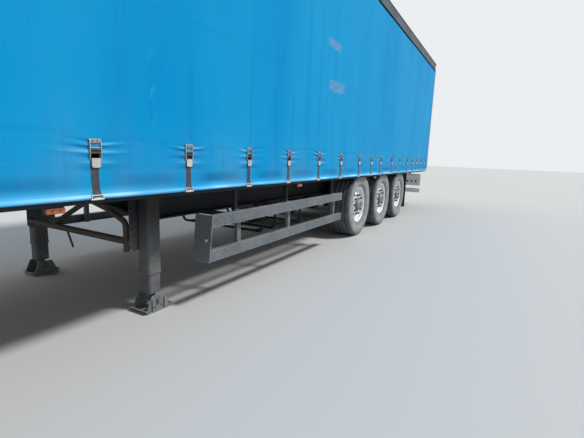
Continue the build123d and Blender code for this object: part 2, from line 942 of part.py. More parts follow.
def hanger(x):
    """Pressed box bracket under the main beam that holds one trailing arm's eye."""
    eye_x = x + hanger_ahead
    cheek = 8.0
    half = 48.0
    outline = [
        (eye_x - 120, beam_low_z),
        (eye_x + 130, beam_low_z),
        (eye_x + 70, arm_eye_z - 50),
        (eye_x - 45, arm_eye_z - 50),
    ]
    cheeks = along_y(outline, arm_y - half, arm_y - half + cheek)
    cheeks += along_y(outline, arm_y + half - cheek, arm_y + half)
    front = [
        (eye_x + 130, beam_low_z),
        (eye_x + 70, arm_eye_z - 50),
        (eye_x + 62, arm_eye_z - 50),
        (eye_x + 122, beam_low_z),
    ]
    cheeks += along_y(front, arm_y - half, arm_y + half)
    pin = rod((eye_x, arm_y - half - 18, arm_eye_z), (eye_x, arm_y + half + 18, arm_eye_z), 15)
    return cheeks + pin


def trailing_arm(x):
    """Spring arm over the axle, from the hanger's eye to the air spring's seat."""
    eye_x = x + hanger_ahead
    seat_x = x - spring_behind
    top = wheel_z + axle_r
    half = 36.0
    outline = [
        (eye_x, arm_eye_z + 22),
        (x + 120, top + 52),
        (x - 90, top + 52),
        (seat_x + 120, spring_seat_z),
        (seat_x - 80, spring_seat_z),
        (seat_x - 80, arm_tail_z),
        (seat_x + 110, arm_tail_z),
        (x - 100, top),
        (x + 100, top),
        (eye_x, arm_eye_z - 22),
    ]
    arm = along_y(outline, arm_y - half, arm_y + half)
    arm += rod((eye_x, arm_y - half, arm_eye_z), (eye_x, arm_y + half, arm_eye_z), 40)
    arm -= rod((eye_x, arm_y - half - 1, arm_eye_z), (eye_x, arm_y + half + 1, arm_eye_z), 15.3)
    seat_top = spring_seat_z + spring_seat_thick
    seat = rod((seat_x, arm_y, spring_seat_z), (seat_x, arm_y, seat_top), 80)
    clamp_low = wheel_z - axle_r
    for dx in (-axle_r - 10, axle_r + 10):
        for dy in (-24, 24):
            start = (x + dx, arm_y + dy, clamp_low - 16)
            arm += rod(start, (x + dx, arm_y + dy, top + 60), 9)
    arm += block((x - 95, x + 95), (arm_y - 36, arm_y + 36), (clamp_low - 14, clamp_low))
    return arm + seat


def air_spring(x):
    """Rolling-lobe air spring between the arm's seat and the beam."""
    low = spring_seat_z + spring_seat_thick
    high = beam_low_z
    outline = [
        (0, low),
        (90, low),
        (96, low + 60),
        (128, low + 70),
        (146, low + 95),
        (146, high - 50),
        (128, high - 24),
        (90, high - 12),
        (90, high),
        (0, high),
    ]
    return turned_z(outline, x - spring_behind, arm_y, 0)


def brake_chamber(x):
    """Spring brake chamber on the back of the axle, with its rod and slack lever."""
    y = chamber_y
    z = wheel_z + 10
    plate_x = x - axle_r - 60
    outline = [
        (0, 0),
        (0, 62),
        (-12, 76),
        (-64, 80),
        (-70, 88),
        (-80, 88),
        (-84, 80),
        (-150, 76),
        (-166, 60),
        (-166, 0),
    ]
    face = Plane.XZ * Polygon(*outline, align=None)
    can = Pos(plate_x, y, z) * revolve(face, Axis.X)
    push_rod = rod((plate_x - 2, y, z), (x - axle_r + 20, y, z), 12)
    push_rod -= rod((x, 0, wheel_z), (x, tyre_y, wheel_z), axle_r)
    bracket = block((plate_x - 10, plate_x), (y - 60, y + 60), (wheel_z - 40, wheel_z + 70))
    return can + bracket + push_rod


def mudguard_band(x):
    """Plastic guard over one tyre, on two round stays from the main beam."""
    stay_r = 15.0
    stay_angle = math.radians(35)
    inner_r = tyre_r + mudguard_gap
    outer_r = inner_r + mudguard_thick
    reach = tyre_r + 105
    keep = Polygon((0, 0), (-reach + 20, reach), (reach - 20, reach), align=None)
    band = Plane.XZ * ((Circle(outer_r) - Circle(inner_r)) & keep)
    y_low = tyre_y - mudguard_wide / 2
    guard = Pos(x, y_low, wheel_z) * extrude(band, mudguard_wide, dir=(0, 1, 0))
    stay_out = outer_r + stay_r - 2
    stay_z = wheel_z + stay_out * math.cos(stay_angle)
    for side in (-1, 1):
        stay_x = x + side * stay_out * math.sin(stay_angle)
        inner_y = beam_y + web_thick / 2
        outer_y = tyre_y + mudguard_wide / 2 - 20
        guard += rod((stay_x, inner_y, stay_z), (stay_x, outer_y, stay_z), stay_r)
    return guard


def mudflap():
    return block((flap_x - 8, flap_x), flap_y, (flap_low_z, flap_top_z))


def flap_hanger():
    y = (beam_y + web_thick / 2, flap_y[1])
    return block((flap_x, flap_x + 40), y, (flap_top_z - 40, flap_top_z))


# Rear end below the floor
def tail_low_z(x):
    """Lower edge of the main beam behind the last axle."""
    share = (beam_tail_x - x) / (beam_tail_x - portal_front_x)
    return beam_low_z + share * (beam_tail_z - beam_low_z)


def underrun():
    """Hollow bar on two plate arms, with the lamp carrier across them."""
    wall = underrun_wall
    bar = block(underrun_x, (-underrun_half, underrun_half), underrun_z)
    bar -= block(
        (underrun_x[0] + wall, underrun_x[1] - wall),
        (-underrun_half - 1, underrun_half + 1),
        (underrun_z[0] + wall, underrun_z[1] - wall),
    )
    carrier = block(carrier_x, (-lamp_y[1], lamp_y[1]), (lamp_z[1], lamp_z[1] + 50))
    arm = [
        (portal_front_x, beam_tail_z),
        (portal_front_x + 420, tail_low_z(portal_front_x + 420)),
        (underrun_x[1] + 60, underrun_z[0]),
        (underrun_x[1], underrun_z[0]),
    ]
    whole = bar
    for y in (-beam_y, beam_y):
        wide = (y - flange_wide / 2, y + flange_wide / 2)
        foot_x = (underrun_x[1] - 1, underrun_x[1] + 60)
        whole += along_y(arm, y - 6, y + 6)
        whole += block(foot_x, wide, (underrun_z[0], underrun_z[0] + 8))
        whole += block((carrier_x[1] - 6, carrier_x[1]), wide, (lamp_z[1] - 30, rave_low_z))
    whole += carrier
    return whole


def lamp_plate():
    x = (carrier_x[0], carrier_x[0] + 4)
    plate = block(x, lamp_y, (lamp_z[0], lamp_z[1]))
    for share in (0.16, 0.43, 0.70):
        y = lamp_y[0] + share * (lamp_y[1] - lamp_y[0])
        z = lamp_z[0] + 0.42 * (lamp_z[1] - lamp_z[0])
        plate -= rod((x[0] - 1, y, z), (x[1] + 1, y, z), 30)
    return plate


def rear_lamp():
    y = (lamp_y[0] + 15, lamp_y[1] - 15)
    lamp = block((carrier_x[0] - 70, carrier_x[0]), y, (lamp_z[0] + 50, lamp_z[0] + 200))
    return fillet(lamp.edges().filter_by(Axis.X), 20)


def side_marker(x):
    lamp = block((x - 55, x + 55), marker_y, marker_z)
    lamp = fillet(lamp.edges().filter_by(Axis.Y), 8)
    hanger_y = (marker_y[0] + 6, marker_y[0] + 12)
    return lamp + block((x - 25, x + 25), hanger_y, (marker_z[1] - 1, rave_low_z))


# Under the floor
def air_tank(x):
    """Round-ended air tank across the chassis, on two straps."""
    half = 400.0
    dish = 50.0
    z = tank_z
    outline = [
        (-half, 0),
        (-half, 60),
        (dish - half - 15, 118),
        (dish - half + 10, tank_r),
        (half - dish - 10, tank_r),
        (half - dish + 15, 118),
        (half, 60),
        (half, 0),
    ]
    tank = turned_y(outline, x, 0, z)
    for y in (-250, 250):
        strap_top = beam_top_z - cross_depth
        tank += rod((x, y - 20, z), (x, y + 20, z), tank_r + 4)
        tank += block((x - 20, x + 20), (y - 20, y + 20), (z + tank_r - 10, strap_top))
    return tank


def spare_basket():
    """Empty spare-wheel basket: three U frames under the beams, tied lengthwise."""
    tube_r = 17.0
    bend = 60.0
    frame = None
    for x in basket_x:
        hoop = bent_tube(
            [
                (x, -basket_y, beam_low_z),
                (x, -basket_y, basket_low_z),
                (x, basket_y, basket_low_z),
                (x, basket_y, beam_low_z),
            ],
            bend,
            tube_r,
        )
        frame = hoop if frame is None else frame + hoop
    for y in (-0.81 * basket_y, -0.275 * basket_y, 0.275 * basket_y, 0.81 * basket_y):
        frame += rod((basket_x[0] - 30, y, basket_low_z), (basket_x[-1] + 30, y, basket_low_z), 12)
    for x in basket_x:
        for y in (-basket_y, basket_y):
            frame += block((x - 35, x + 35), (y - 30, y + 30), (beam_low_z - 10, beam_low_z))
    return frame


def coupling_board():
    """Front board with two air couplings and two round sockets."""
    x = (front_outer_x, front_outer_x + 4)
    reach = front_x
    board = block(x, (-330, 330), (rave_low_z + 20, rave_low_z + 150))
    for y in (-250, 250):
        board += block((x[1] - 1, reach), (y - 30, y + 30), (rave_low_z + 55, rave_low_z + 110))
    for y in (-90, 90):
        board += rod((x[1] - 1, y, rave_low_z + 85), (reach, y, rave_low_z + 85), 36)
    return board


# Doors
def door_leaf():
    """Left leaf: planked panel in a raised frame, with its hinge straps."""
    low_y = door_meet_gap / 2
    leaf = block((door_outer_x, door_inner_x), (low_y, door_edge_y), (door_low_z, door_top_z))
    border = 70.0
    plank = 230.0
    for side in (-1, 1):
        face = door_outer_x if side < 0 else door_inner_x
        span = (face - 1, face + 6) if side < 0 else (face - 6, face + 1)
        y = (low_y + border, door_edge_y - border)
        leaf -= block(span, y, (door_low_z + border, door_top_z - border))
    z = door_low_z + border + plank
    while z < door_top_z - border - 100:
        leaf -= block((door_outer_x, door_outer_x + 9), y, (z, z + 16))
        z += plank
    strap = Polygon(
        (door_outer_x, door_edge_y - 153),
        (door_outer_x - 8, door_edge_y - 153),
        (door_outer_x - 8, door_edge_y - 21),
        (hinge_x - 8, hinge_y - 10),
        (hinge_x + 8, hinge_y - 4),
        (door_outer_x, door_edge_y),
        align=None,
    )
    knuckle = Pos(hinge_x, hinge_y) * Circle(hinge_r)
    hole = Pos(hinge_x, hinge_y) * Circle(hinge_pin_r + running_gap)
    plate = strap + knuckle - hole
    for z in hinge_heights:
        leaf += Pos(0, 0, z - 23) * extrude(plate, 46, dir=(0, 0, 1))
    return leaf


def lock_bars():
    """Two lock bars with guides, end cams and the long handles, on the left leaf."""
    bar_x = door_outer_x - 17
    bars = []
    for place, handle_z, reach in zip(lock_bar_places, handle_heights, handle_reaches):
        bar = rod((bar_x, place, door_low_z - 40), (bar_x, place, door_top_z + 40), lock_bar_r)
        for z in guide_heights:
            bar += block((bar_x - 16, door_outer_x + 6), (place - 32, place + 32), (z - 22, z + 22))
        for z in (door_low_z - 40, door_top_z + 12):
            bar += block((bar_x - 14, bar_x + 8), (place - 20, place + 20), (z, z + 28))
        handle = (place - reach, place + 18)
        bar += block((bar_x - 13, bar_x - 3), handle, (handle_z, handle_z + 30))
        rest = (place - reach + 20, place - reach + 60)
        bar += block((bar_x - 4, door_outer_x + 6), rest, (handle_z - 20, handle_z + 50))
        bars.append(bar)
    return bars


def main():
    os.makedirs("parts", exist_ok=True)
    beams = both_sides(main_beam())
    write("main_beams", beams)
    write("cross_members", cross_members(beams))
    write("side_raves", both_sides(side_rave()))
    deck = block((portal_front_x, front_inner_x), (-wall_inner, wall_inner), (beam_top_z, floor_z))
    write("floor_deck", [deck])
    write("coupling_plate", [coupling_plate()])
    write("kingpin", [kingpin()])
    write("front_wall", [front_wall()])
    write("rear_frame", rear_frame())
    write("cantrails", both_sides(cantrail()))
    write("roof_skin", [roof_skin()])
    write("roof_bows", roof_bows())
    pillars = [side_pillar(x) for x in pillar_places]
    write("side_pillars", pillars + [mirror(p, about=Plane.XZ) for p in pillars])
    slats = side_slats()
    write("side_slats", slats + [mirror(s, about=Plane.XZ) for s in slats])
    write("curtain_left", [curtain()])
    write("curtain_right", [mirror(curtain(), about=Plane.XZ)])
    write("buckles_left", buckles())
    write("buckles_right", [mirror(b, about=Plane.XZ) for b in buckles()])
    write("leg_tubes", both_sides(leg_tube()))
    cheeks = leg_bracket()
    write("leg_brackets", cheeks + [mirror(c, about=Plane.XZ) for c in cheeks] + [leg_beam()])
    write("leg_sliders", both_sides(leg_slider()))
    write("leg_feet", both_sides(leg_foot()))
    write("leg_bracing", leg_bracing())
    write("leg_gear", leg_gear())
    write("side_guards", both_sides(side_guard()))
    hangers = guard_hangers()
    write("guard_hangers", hangers + [mirror(h, about=Plane.XZ) for h in hangers])
    write("axle_beams", [axle_beam(x) for x in axle_places])
    for name, make in (
        ("spring_hangers", hanger),
        ("trailing_arms", trailing_arm),
        ("air_springs", air_spring),
        ("brake_chambers", brake_chamber),
        ("mudguards", mudguard_band),
    ):
        shapes = [make(x) for x in axle_places]
        write(name, shapes + [mirror(s, about=Plane.XZ) for s in shapes])
    write("mudflaps", both_sides(mudflap()))
    write("mudflap_arms", both_sides(flap_hanger()))
    write("underrun_bar", [underrun()])
    write("lamp_plates", both_sides(lamp_plate()))
    write("rear_lamps", both_sides(rear_lamp()))
    markers = [side_marker(x) for x in marker_places]
    write("side_markers", markers + [mirror(m, about=Plane.XZ) for m in markers])
    write("air_tanks", [air_tank(x) for x in tank_places])
    write("spare_basket", [spare_basket()])
    write("coupling_board", [coupling_board()])
    tyre_shape = tyre()
    hub_shape = wheel_hub()
    for i, x in enumerate(axle_places, start=1):
        left_tyre = Pos(x, tyre_y, wheel_z) * tyre_shape
        left_hub = Pos(x, tyre_y, wheel_z) * hub_shape
        write(f"tyre_{i}_left", [left_tyre])
        write(f"wheel_{i}_left", [left_hub])
        write(f"tyre_{i}_right", [mirror(left_tyre, about=Plane.XZ)])
        write(f"wheel_{i}_right", [mirror(left_hub, about=Plane.XZ)])
    leaf = door_leaf()
    bars = lock_bars()
    write("door_left", [leaf])
    write("door_right", [mirror(leaf, about=Plane.XZ)])
    write("lock_bars_left", bars)
    write("lock_bars_right", [mirror(b, about=Plane.XZ) for b in bars])


main()
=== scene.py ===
import bpy
import bmesh
import math
from mathutils import Matrix, Vector, noise


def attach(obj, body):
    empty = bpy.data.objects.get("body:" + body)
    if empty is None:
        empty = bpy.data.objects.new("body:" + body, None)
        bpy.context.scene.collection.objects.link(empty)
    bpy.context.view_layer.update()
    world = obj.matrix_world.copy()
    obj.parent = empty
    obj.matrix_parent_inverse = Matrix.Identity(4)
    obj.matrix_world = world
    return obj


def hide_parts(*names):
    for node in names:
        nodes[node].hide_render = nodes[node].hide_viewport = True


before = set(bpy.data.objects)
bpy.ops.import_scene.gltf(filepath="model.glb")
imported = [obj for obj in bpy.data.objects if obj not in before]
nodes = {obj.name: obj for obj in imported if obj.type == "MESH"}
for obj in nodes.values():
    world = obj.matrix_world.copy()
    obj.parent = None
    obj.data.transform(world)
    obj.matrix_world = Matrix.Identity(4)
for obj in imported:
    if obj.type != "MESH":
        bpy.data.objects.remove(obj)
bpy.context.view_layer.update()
halfWidth = 1.275
curtainFace = 1.2700
length = 13.6
axles = {1: -1.200, 2: -2.510, 3: -3.820}
wheelY = 1.032
wheelZ = 0.535
trailerPair = ("trailer", "trailer")


# Mesh helpers

def addBox(bm, low, high, bevel=0.0):
    made = bmesh.ops.create_cube(bm, size=1)["verts"]
    low = Vector(low)
    high = Vector(high)
    bmesh.ops.scale(bm, vec=high - low, verts=made)
    bmesh.ops.translate(bm, vec=(high + low) / 2, verts=made)
    if bevel:
        edges = list({edge for vert in made for edge in vert.link_edges})
        bmesh.ops.bevel(bm, geom=edges, offset=bevel, offset_type="OFFSET", segments=2,
                        profile=0.5, affect="EDGES", clamp_overlap=True, material=-1)


def addBoxX(bm, x, half, low, high, bevel=0.0):
    # a box that reaches half to each side of x, between two (y, z) corners
    addBox(bm, (x - half, *low), (x + half, *high), bevel)


def addRod(bm, start, end, radius, sides=14, endRadius=None):
    start = Vector(start)
    end = Vector(end)
    turn = (end - start).to_track_quat("Z", "Y").to_matrix().to_4x4()
    place = Matrix.Translation((start + end) / 2) @ turn
    last = radius if endRadius is None else endRadius
    bmesh.ops.create_cone(bm, cap_ends=True, cap_tris=False, segments=sides, radius1=radius,
                          radius2=last, depth=(end - start).length, matrix=place)


def addRodX(bm, x, half, y, z, radius, sides=10):
    # a rod along X that reaches half to each side of x
    addRod(bm, (x - half, y, z), (x + half, y, z), radius, sides)


def addPin(bm, start, reach, radius, sides=14, endRadius=None):
    # a rod from start, as long and in the direction that reach says
    start = Vector(start)
    addRod(bm, start, start + Vector(reach), radius, sides, endRadius)


def addBolt(bm, place, axis, size=0.012, reach=0.012):
    # a washer and a six-sided head
    place = Vector(place)
    axis = Vector(axis)
    addPin(bm, place, axis * reach * 0.3, size, 12)
    addRod(bm, place + axis * reach * 0.3, place + axis * reach, size * 0.82, 6)


def addRivet(bm, place, axis, size=0.007):
    addPin(bm, place, Vector(axis) * size * 0.4, size, 8, size * 0.55)


def addExtrusion(bm, outline, offset):
    # a closed outline of points, pushed along offset
    face = bm.faces.new([bm.verts.new(point) for point in outline])
    pushed = bmesh.ops.extrude_face_region(bm, geom=[face])["geom"]
    moved = [item for item in pushed if isinstance(item, bmesh.types.BMVert)]
    bmesh.ops.translate(bm, vec=Vector(offset), verts=moved)


def addTurned(bm, profile, centre, steps):
    # a ring of (y, radius) points, turned about a line along Y through centre
    verts = [bm.verts.new(centre + Vector((0, y, radius))) for y, radius in profile]
    edges = [bm.edges.new(pair) for pair in zip(verts, verts[1:] + verts[:1])]
    bmesh.ops.spin(bm, geom=verts + edges, cent=centre, axis=(0, 1, 0), dvec=(0, 0, 0),
                   angle=math.tau, steps=steps, use_merge=True, use_duplicate=False)


def thickenStrip(bm, made, thickness):
    faces = list({face for vert in made for face in vert.link_faces})
    bmesh.ops.recalc_face_normals(bm, faces=faces)
    bmesh.ops.solidify(bm, geom=faces, thickness=thickness)


def finishPiece(bm, name, body, material, sharp=35, recalc=True):
    if recalc:
        bmesh.ops.recalc_face_normals(bm, faces=bm.faces)
    limit = math.radians(sharp)
    for face in bm.faces:
        face.smooth = True
    for edge in bm.edges:
        edge.smooth = len(edge.link_faces) == 2 and edge.calc_face_angle(0) < limit
    piece = addObject(name, bm)
    piece.data.materials.append(material)
    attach(piece, body)
    return piece


def addObject(name, bm):
    mesh = bpy.data.meshes.new(name)
    bm.to_mesh(mesh)
    bm.free()
    return linkObject(name, mesh)


def linkObject(name, data):
    made = bpy.data.objects.new(name, data)
    bpy.context.scene.collection.objects.link(made)
    return made


def finishBoth(bm, stem, material, bodies=trailerPair):
    # the left piece and its mirror image on the right
    other = bm.copy()
    bmesh.ops.scale(other, vec=(1, -1, 1), verts=other.verts)
    left = finishPiece(bm, stem + "Left", bodies[0], material)
    right = finishPiece(other, stem + "Right", bodies[1], material)
    return left, right


def finishSheet(bm, name, material, outward, thickness):
    # a thin cloth with its face on the outward side
    bmesh.ops.recalc_face_normals(bm, faces=bm.faces)
    bm.faces.ensure_lookup_table()
    if bm.faces[0].normal.dot(Vector(outward)) < 0:
        bmesh.ops.reverse_faces(bm, faces=bm.faces)
    piece = finishPiece(bm, name, "trailer", material, 80, False)
    thicken = piece.modifiers.new("cloth", "SOLIDIFY")
    thicken.thickness = thickness
    thicken.offset = -1
    return piece


def smooth(low, high, value):
    share = min(1.0, max(0.0, (value - low) / (high - low)))
    return share * share * (3 - 2 * share)


def wavy(x, y, z):
    return noise.noise(Vector((x, y, z)))


# Material helpers

class Coat:
    # a node tree with the colour laid so far, and short names for the nodes it takes
    def __init__(self, tree, vector=None, material=None):
        self.tree = tree
        self.vector = vector
        self.material = material
        self.shader = tree.nodes.get("Principled BSDF")
        self.colour = None

    def plug(self, value, socket):
        if isinstance(value, bpy.types.NodeSocket):
            self.tree.links.new(value, socket)
        elif socket.type == "RGBA":
            socket.default_value = (*value, 1)
        else:
            socket.default_value = value

    def add(self, kind, inputs, **settings):
        node = self.tree.nodes.new("ShaderNode" + kind)
        for key, value in settings.items():
            setattr(node, key, value)
        for key, value in inputs.items():
            self.plug(value, node.inputs[key])
        return node

    def axis(self, name):
        return self.add("SeparateXYZ", {0: self.vector}).outputs[name]

    def calc(self, operation, first, second=0.0, clamp=False):
        node = self.add("Math", {0: first, 1: second}, operation=operation, use_clamp=clamp)
        return node.outputs[0]

    def times(self, first, *others):
        for other in others:
            first = self.calc("MULTIPLY", first, other)
        return first

    def sum(self, first, second):
        return self.calc("ADD", first, second)

    def away(self, value, middle):
        return self.calc("ABSOLUTE", self.calc("SUBTRACT", value, middle))

    def ramp(self, value, low, high, outLow=0.0, outHigh=1.0):
        ends = {"Value": value, "From Min": low, "From Max": high, "To Min": outLow,
                "To Max": outHigh}
        return self.add("MapRange", ends, interpolation_type="SMOOTHSTEP").outputs["Result"]

    def noise(self, scale, detail=3.0, stretch=None):
        vector = self.vector
        if stretch:
            vector = self.add("Mapping", {"Vector": vector, "Scale": stretch}).outputs["Vector"]
        node = self.add("TexNoise", {"Vector": vector, "Scale": scale, "Detail": detail})
        return node.outputs["Fac"]

    def mix(self, share, first, second):
        node = self.add("Mix", {0: share, 6: first, 7: second}, data_type="RGBA")
        return node.outputs[2]

    def base(self, share, first, second):
        self.colour = self.mix(share, first, second)

    def lay(self, colour, *shares):
        self.colour = self.mix(self.times(*shares), self.colour, colour)

    def dust(self, colour, scale, amount):
        node = self.add("Group", {"Vector": self.vector, "Colour": self.colour, "Scale": scale,
                                  "Dust Colour": colour, "Amount": amount}, node_tree=dustGroup)
        self.colour = node.outputs["Colour"]
        return node.outputs["Mask"]

    def grain(self, scale, broad):
        node = self.add("Group", {"Vector": self.vector, "Scale": scale, "Broad": broad},
                        node_tree=grainGroup)
        return node.outputs["Height"]

    def weave(self, across, along, threads):
        node = self.add("Group", {"Across": self.axis(across), "Along": self.axis(along),
                                  "Threads": threads}, node_tree=weaveGroup)
        return node.outputs["Height"]

    def finish(self, rough, height, strength, distance=0.002, others=None):
        inputs = self.shader.inputs
        self.plug(self.colour, inputs["Base Color"])
        self.plug(rough, inputs["Roughness"])
        for key, value in (others or {}).items():
            self.plug(value, inputs[key])
        bump = self.add("Bump", {"Height": height, "Strength": strength, "Distance": distance})
        self.plug(bump.outputs["Normal"], inputs["Normal"])
        return self.material


def startMaterial(name):
    material = bpy.data.materials.new(name)
    material.use_nodes = True
    tree = material.node_tree
    return Coat(tree, tree.nodes.new("ShaderNodeTexCoord").outputs["Object"], material)


def startGroup(name, inputs, outputs):
    group = bpy.data.node_groups.new(name, "ShaderNodeTree")
    for way, sockets in (("INPUT", inputs), ("OUTPUT", outputs)):
        for label, kind in sockets.items():
            group.interface.new_socket(label, in_out=way, socket_type="NodeSocket" + kind)
    entry = group.nodes.new("NodeGroupInput").outputs
    return Coat(group, entry.get("Vector")), entry, group.nodes.new("NodeGroupOutput").inputs


def makeDustGroup():
    # dust and road grime: more on faces that look up and low on the trailer
    coat, entry, result = startGroup(
        "roadDust", {"Vector": "Vector", "Colour": "Color", "Dust Colour": "Color",
                     "Amount": "Float", "Scale": "Float"}, {"Colour": "Color", "Mask": "Float"})
    cloud = coat.noise(entry["Scale"], 5.0)
    fine = coat.noise(55.0, 3.0)
    up = coat.add("SeparateXYZ", {0: coat.add("NewGeometry", {}).outputs["Normal"]})
    facing = coat.ramp(up.outputs["Z"], -0.2, 0.9, 0.35, 1.0)
    low = coat.ramp(coat.axis("Z"), 0.0, 1.1, 1.0, 0.6)
    mask = coat.times(coat.ramp(cloud, 0.3, 0.72), facing, low,
                      coat.ramp(fine, 0.25, 0.7, 0.55, 1.0))
    mask = coat.calc("MULTIPLY", mask, entry["Amount"], True)
    coat.plug(coat.mix(mask, entry["Colour"], entry["Dust Colour"]), result["Colour"])
    coat.plug(mask, result["Mask"])
    return coat.tree


def makeEdgeGroup():
    # 1 along worn outer edges, broken up by noise
    coat, entry, result = startGroup(
        "edgeWear", {"Vector": "Vector", "Radius": "Float", "Breakup": "Float"},
        {"Mask": "Float"})
    rounded = coat.add("Bevel", {"Radius": entry["Radius"]}, samples=4).outputs["Normal"]
    flat = coat.add("NewGeometry", {}).outputs["Normal"]
    dot = coat.add("VectorMath", {0: rounded, 1: flat}, operation="DOT_PRODUCT")
    edge = coat.ramp(dot.outputs["Value"], 0.985, 0.80)
    broken = coat.ramp(coat.noise(entry["Breakup"], 4.0), 0.35, 0.6, 0.25, 1.0)
    coat.plug(coat.calc("MULTIPLY", edge, broken, True), result["Mask"])
    return coat.tree


def makeGrainGroup():
    # fine lumps of thick paint or cast rubber, as a height
    coat, entry, result = startGroup(
        "surfaceGrain", {"Vector": "Vector", "Scale": "Float", "Broad": "Float"},
        {"Height": "Float"})
    fine = coat.noise(entry["Scale"], 2.0)
    broad = coat.noise(entry["Broad"], 3.0)
    coat.plug(coat.sum(coat.times(fine, 0.35), broad), result["Height"])
    return coat.tree


def makeWeaveGroup():
    # crossed threads: so many per metre along each of the two places given
    coat, entry, result = startGroup(
        "threadWeave", {"Across": "Float", "Along": "Float", "Threads": "Float"},
        {"Height": "Float"})
    waves = [coat.calc("SINE", coat.times(entry[label], entry["Threads"], math.tau))
             for label in ("Across", "Along")]
    coat.plug(coat.calc("MULTIPLY_ADD", coat.times(*waves), 0.5), result["Height"])
    return coat.tree


dustGroup = makeDustGroup()
edgeGroup = makeEdgeGroup()
grainGroup = makeGrainGroup()
weaveGroup = makeWeaveGroup()


# Paint and metal

rustBrown = (0.10, 0.045, 0.02)
# a near-black for painted shade on the upper part of the legs
paintedShadeBlack = (0.012, 0.013, 0.016)
paintKeys = ("colour", "tone", "edge", "dust", "dustAmount", "edgeAmount", "streaks", "rust",
             "roughness", "metallic", "grain")


def paintLook(*values, **others):
    # the values in the order of paintKeys, and what only some paints have
    return dict(zip(paintKeys, values), **others)


paintSettings = {
    "chassisPaint": paintLook(
        (0.014, 0.017, 0.023), (0.024, 0.027, 0.033), (0.13, 0.14, 0.15), (0.085, 0.080, 0.075),
        0.45, 0.4, 0.10, 0.10, 0.62, 0.0, 0.25, specular=0.18),
    "legPaint": paintLook(
        (0.062, 0.069, 0.077), (0.105, 0.110, 0.118), (0.30, 0.30, 0.29), (0.27, 0.25, 0.22),
        0.85, 0.7, 0.25, 0.10, 0.6, 0.0, 0.35, mottle=0.45, specular=0.30, edgeRadius=0.0050,
        shadedFrom=0.50),
    "guardSteel": paintLook(
        (0.092, 0.108, 0.122), (0.130, 0.148, 0.163), (0.52, 0.54, 0.55), (0.30, 0.29, 0.27),
        0.6, 1.0, 0.08, 0.03, 0.58, 0.1, 0.35, mottle=0.40, specular=0.35, edgeRadius=0.0080),
    "brownBrace": paintLook(
        (0.045, 0.036, 0.030), (0.085, 0.065, 0.050), (0.20, 0.16, 0.12), (0.20, 0.16, 0.12),
        0.7, 0.4, 0.3, 0.45, 0.7, 0.0, 0.5),
    "wornSteel": paintLook(
        (0.16, 0.15, 0.14), (0.26, 0.24, 0.22), (0.45, 0.44, 0.42), (0.05, 0.045, 0.04),
        0.6, 0.6, 0.2, 0.3, 0.4, 0.8, 0.3),
    "palePaint": paintLook(
        (0.62, 0.65, 0.66), (0.70, 0.72, 0.72), (0.42, 0.42, 0.40), (0.33, 0.31, 0.28),
        0.45, 0.35, 0.35, 0.05, 0.45, 0.0, 0.12),
    "anodisedRail": paintLook(
        (0.042, 0.063, 0.092), (0.076, 0.100, 0.135), (0.40, 0.42, 0.44), (0.15, 0.15, 0.15),
        0.45, 0.4, 0.5, 0.0, 0.55, 0.15, 0.1, mottle=0.25, specular=0.3),
    "zincPlate": paintLook(
        (0.50, 0.51, 0.52), (0.66, 0.67, 0.68), (0.80, 0.80, 0.80), (0.20, 0.18, 0.16),
        0.5, 0.6, 0.2, 0.08, 0.38, 0.7, 0.15),
    "buckleZinc": paintLook(
        (0.30, 0.30, 0.30), (0.46, 0.46, 0.45), (0.85, 0.85, 0.84), (0.12, 0.11, 0.10),
        0.6, 0.8, 0.2, 0.2, 0.42, 0.4, 0.2, edgeRadius=0.0030),
    "leverCream": paintLook(
        (0.56, 0.53, 0.46), (0.66, 0.64, 0.58), (0.30, 0.28, 0.25), (0.26, 0.23, 0.19),
        0.6, 0.6, 0.4, 0.15, 0.5, 0.0, 0.15, edgeRadius=0.0020),
    "footSteel": paintLook(
        (0.105, 0.115, 0.124), (0.165, 0.176, 0.184), (0.42, 0.43, 0.44), (0.22, 0.20, 0.175),
        0.55, 0.9, 0.1, 0.15, 0.6, 0.0, 0.4, edgeRadius=0.0060, mottle=0.5, specular=0.35),
    "trimWhite": paintLook(
        (0.74, 0.76, 0.77), (0.80, 0.81, 0.81), (0.60, 0.60, 0.58), (0.42, 0.41, 0.38),
        0.4, 0.3, 0.3, 0.03, 0.45, 0.0, 0.1),
    "hubBlack": paintLook(
        (0.022, 0.022, 0.024), (0.045, 0.043, 0.043), (0.32, 0.31, 0.30), (0.24, 0.22, 0.19),
        0.55, 0.5, 0.0, 0.35, 0.5, 0.3, 0.25),
    "hookZinc": paintLook(
        (0.62, 0.62, 0.60), (0.74, 0.74, 0.72), (0.85, 0.85, 0.85), (0.30, 0.28, 0.25),
        0.3, 0.5, 0.15, 0.12, 0.45, 0.35, 0.15),
    "lampPlateGrey": paintLook(
        (0.88, 0.90, 0.91), (0.92, 0.94, 0.95), (0.90, 0.90, 0.90), (0.48, 0.47, 0.45),
        0.3, 0.5, 0.3, 0.05, 0.5, 0.1, 0.15),
}


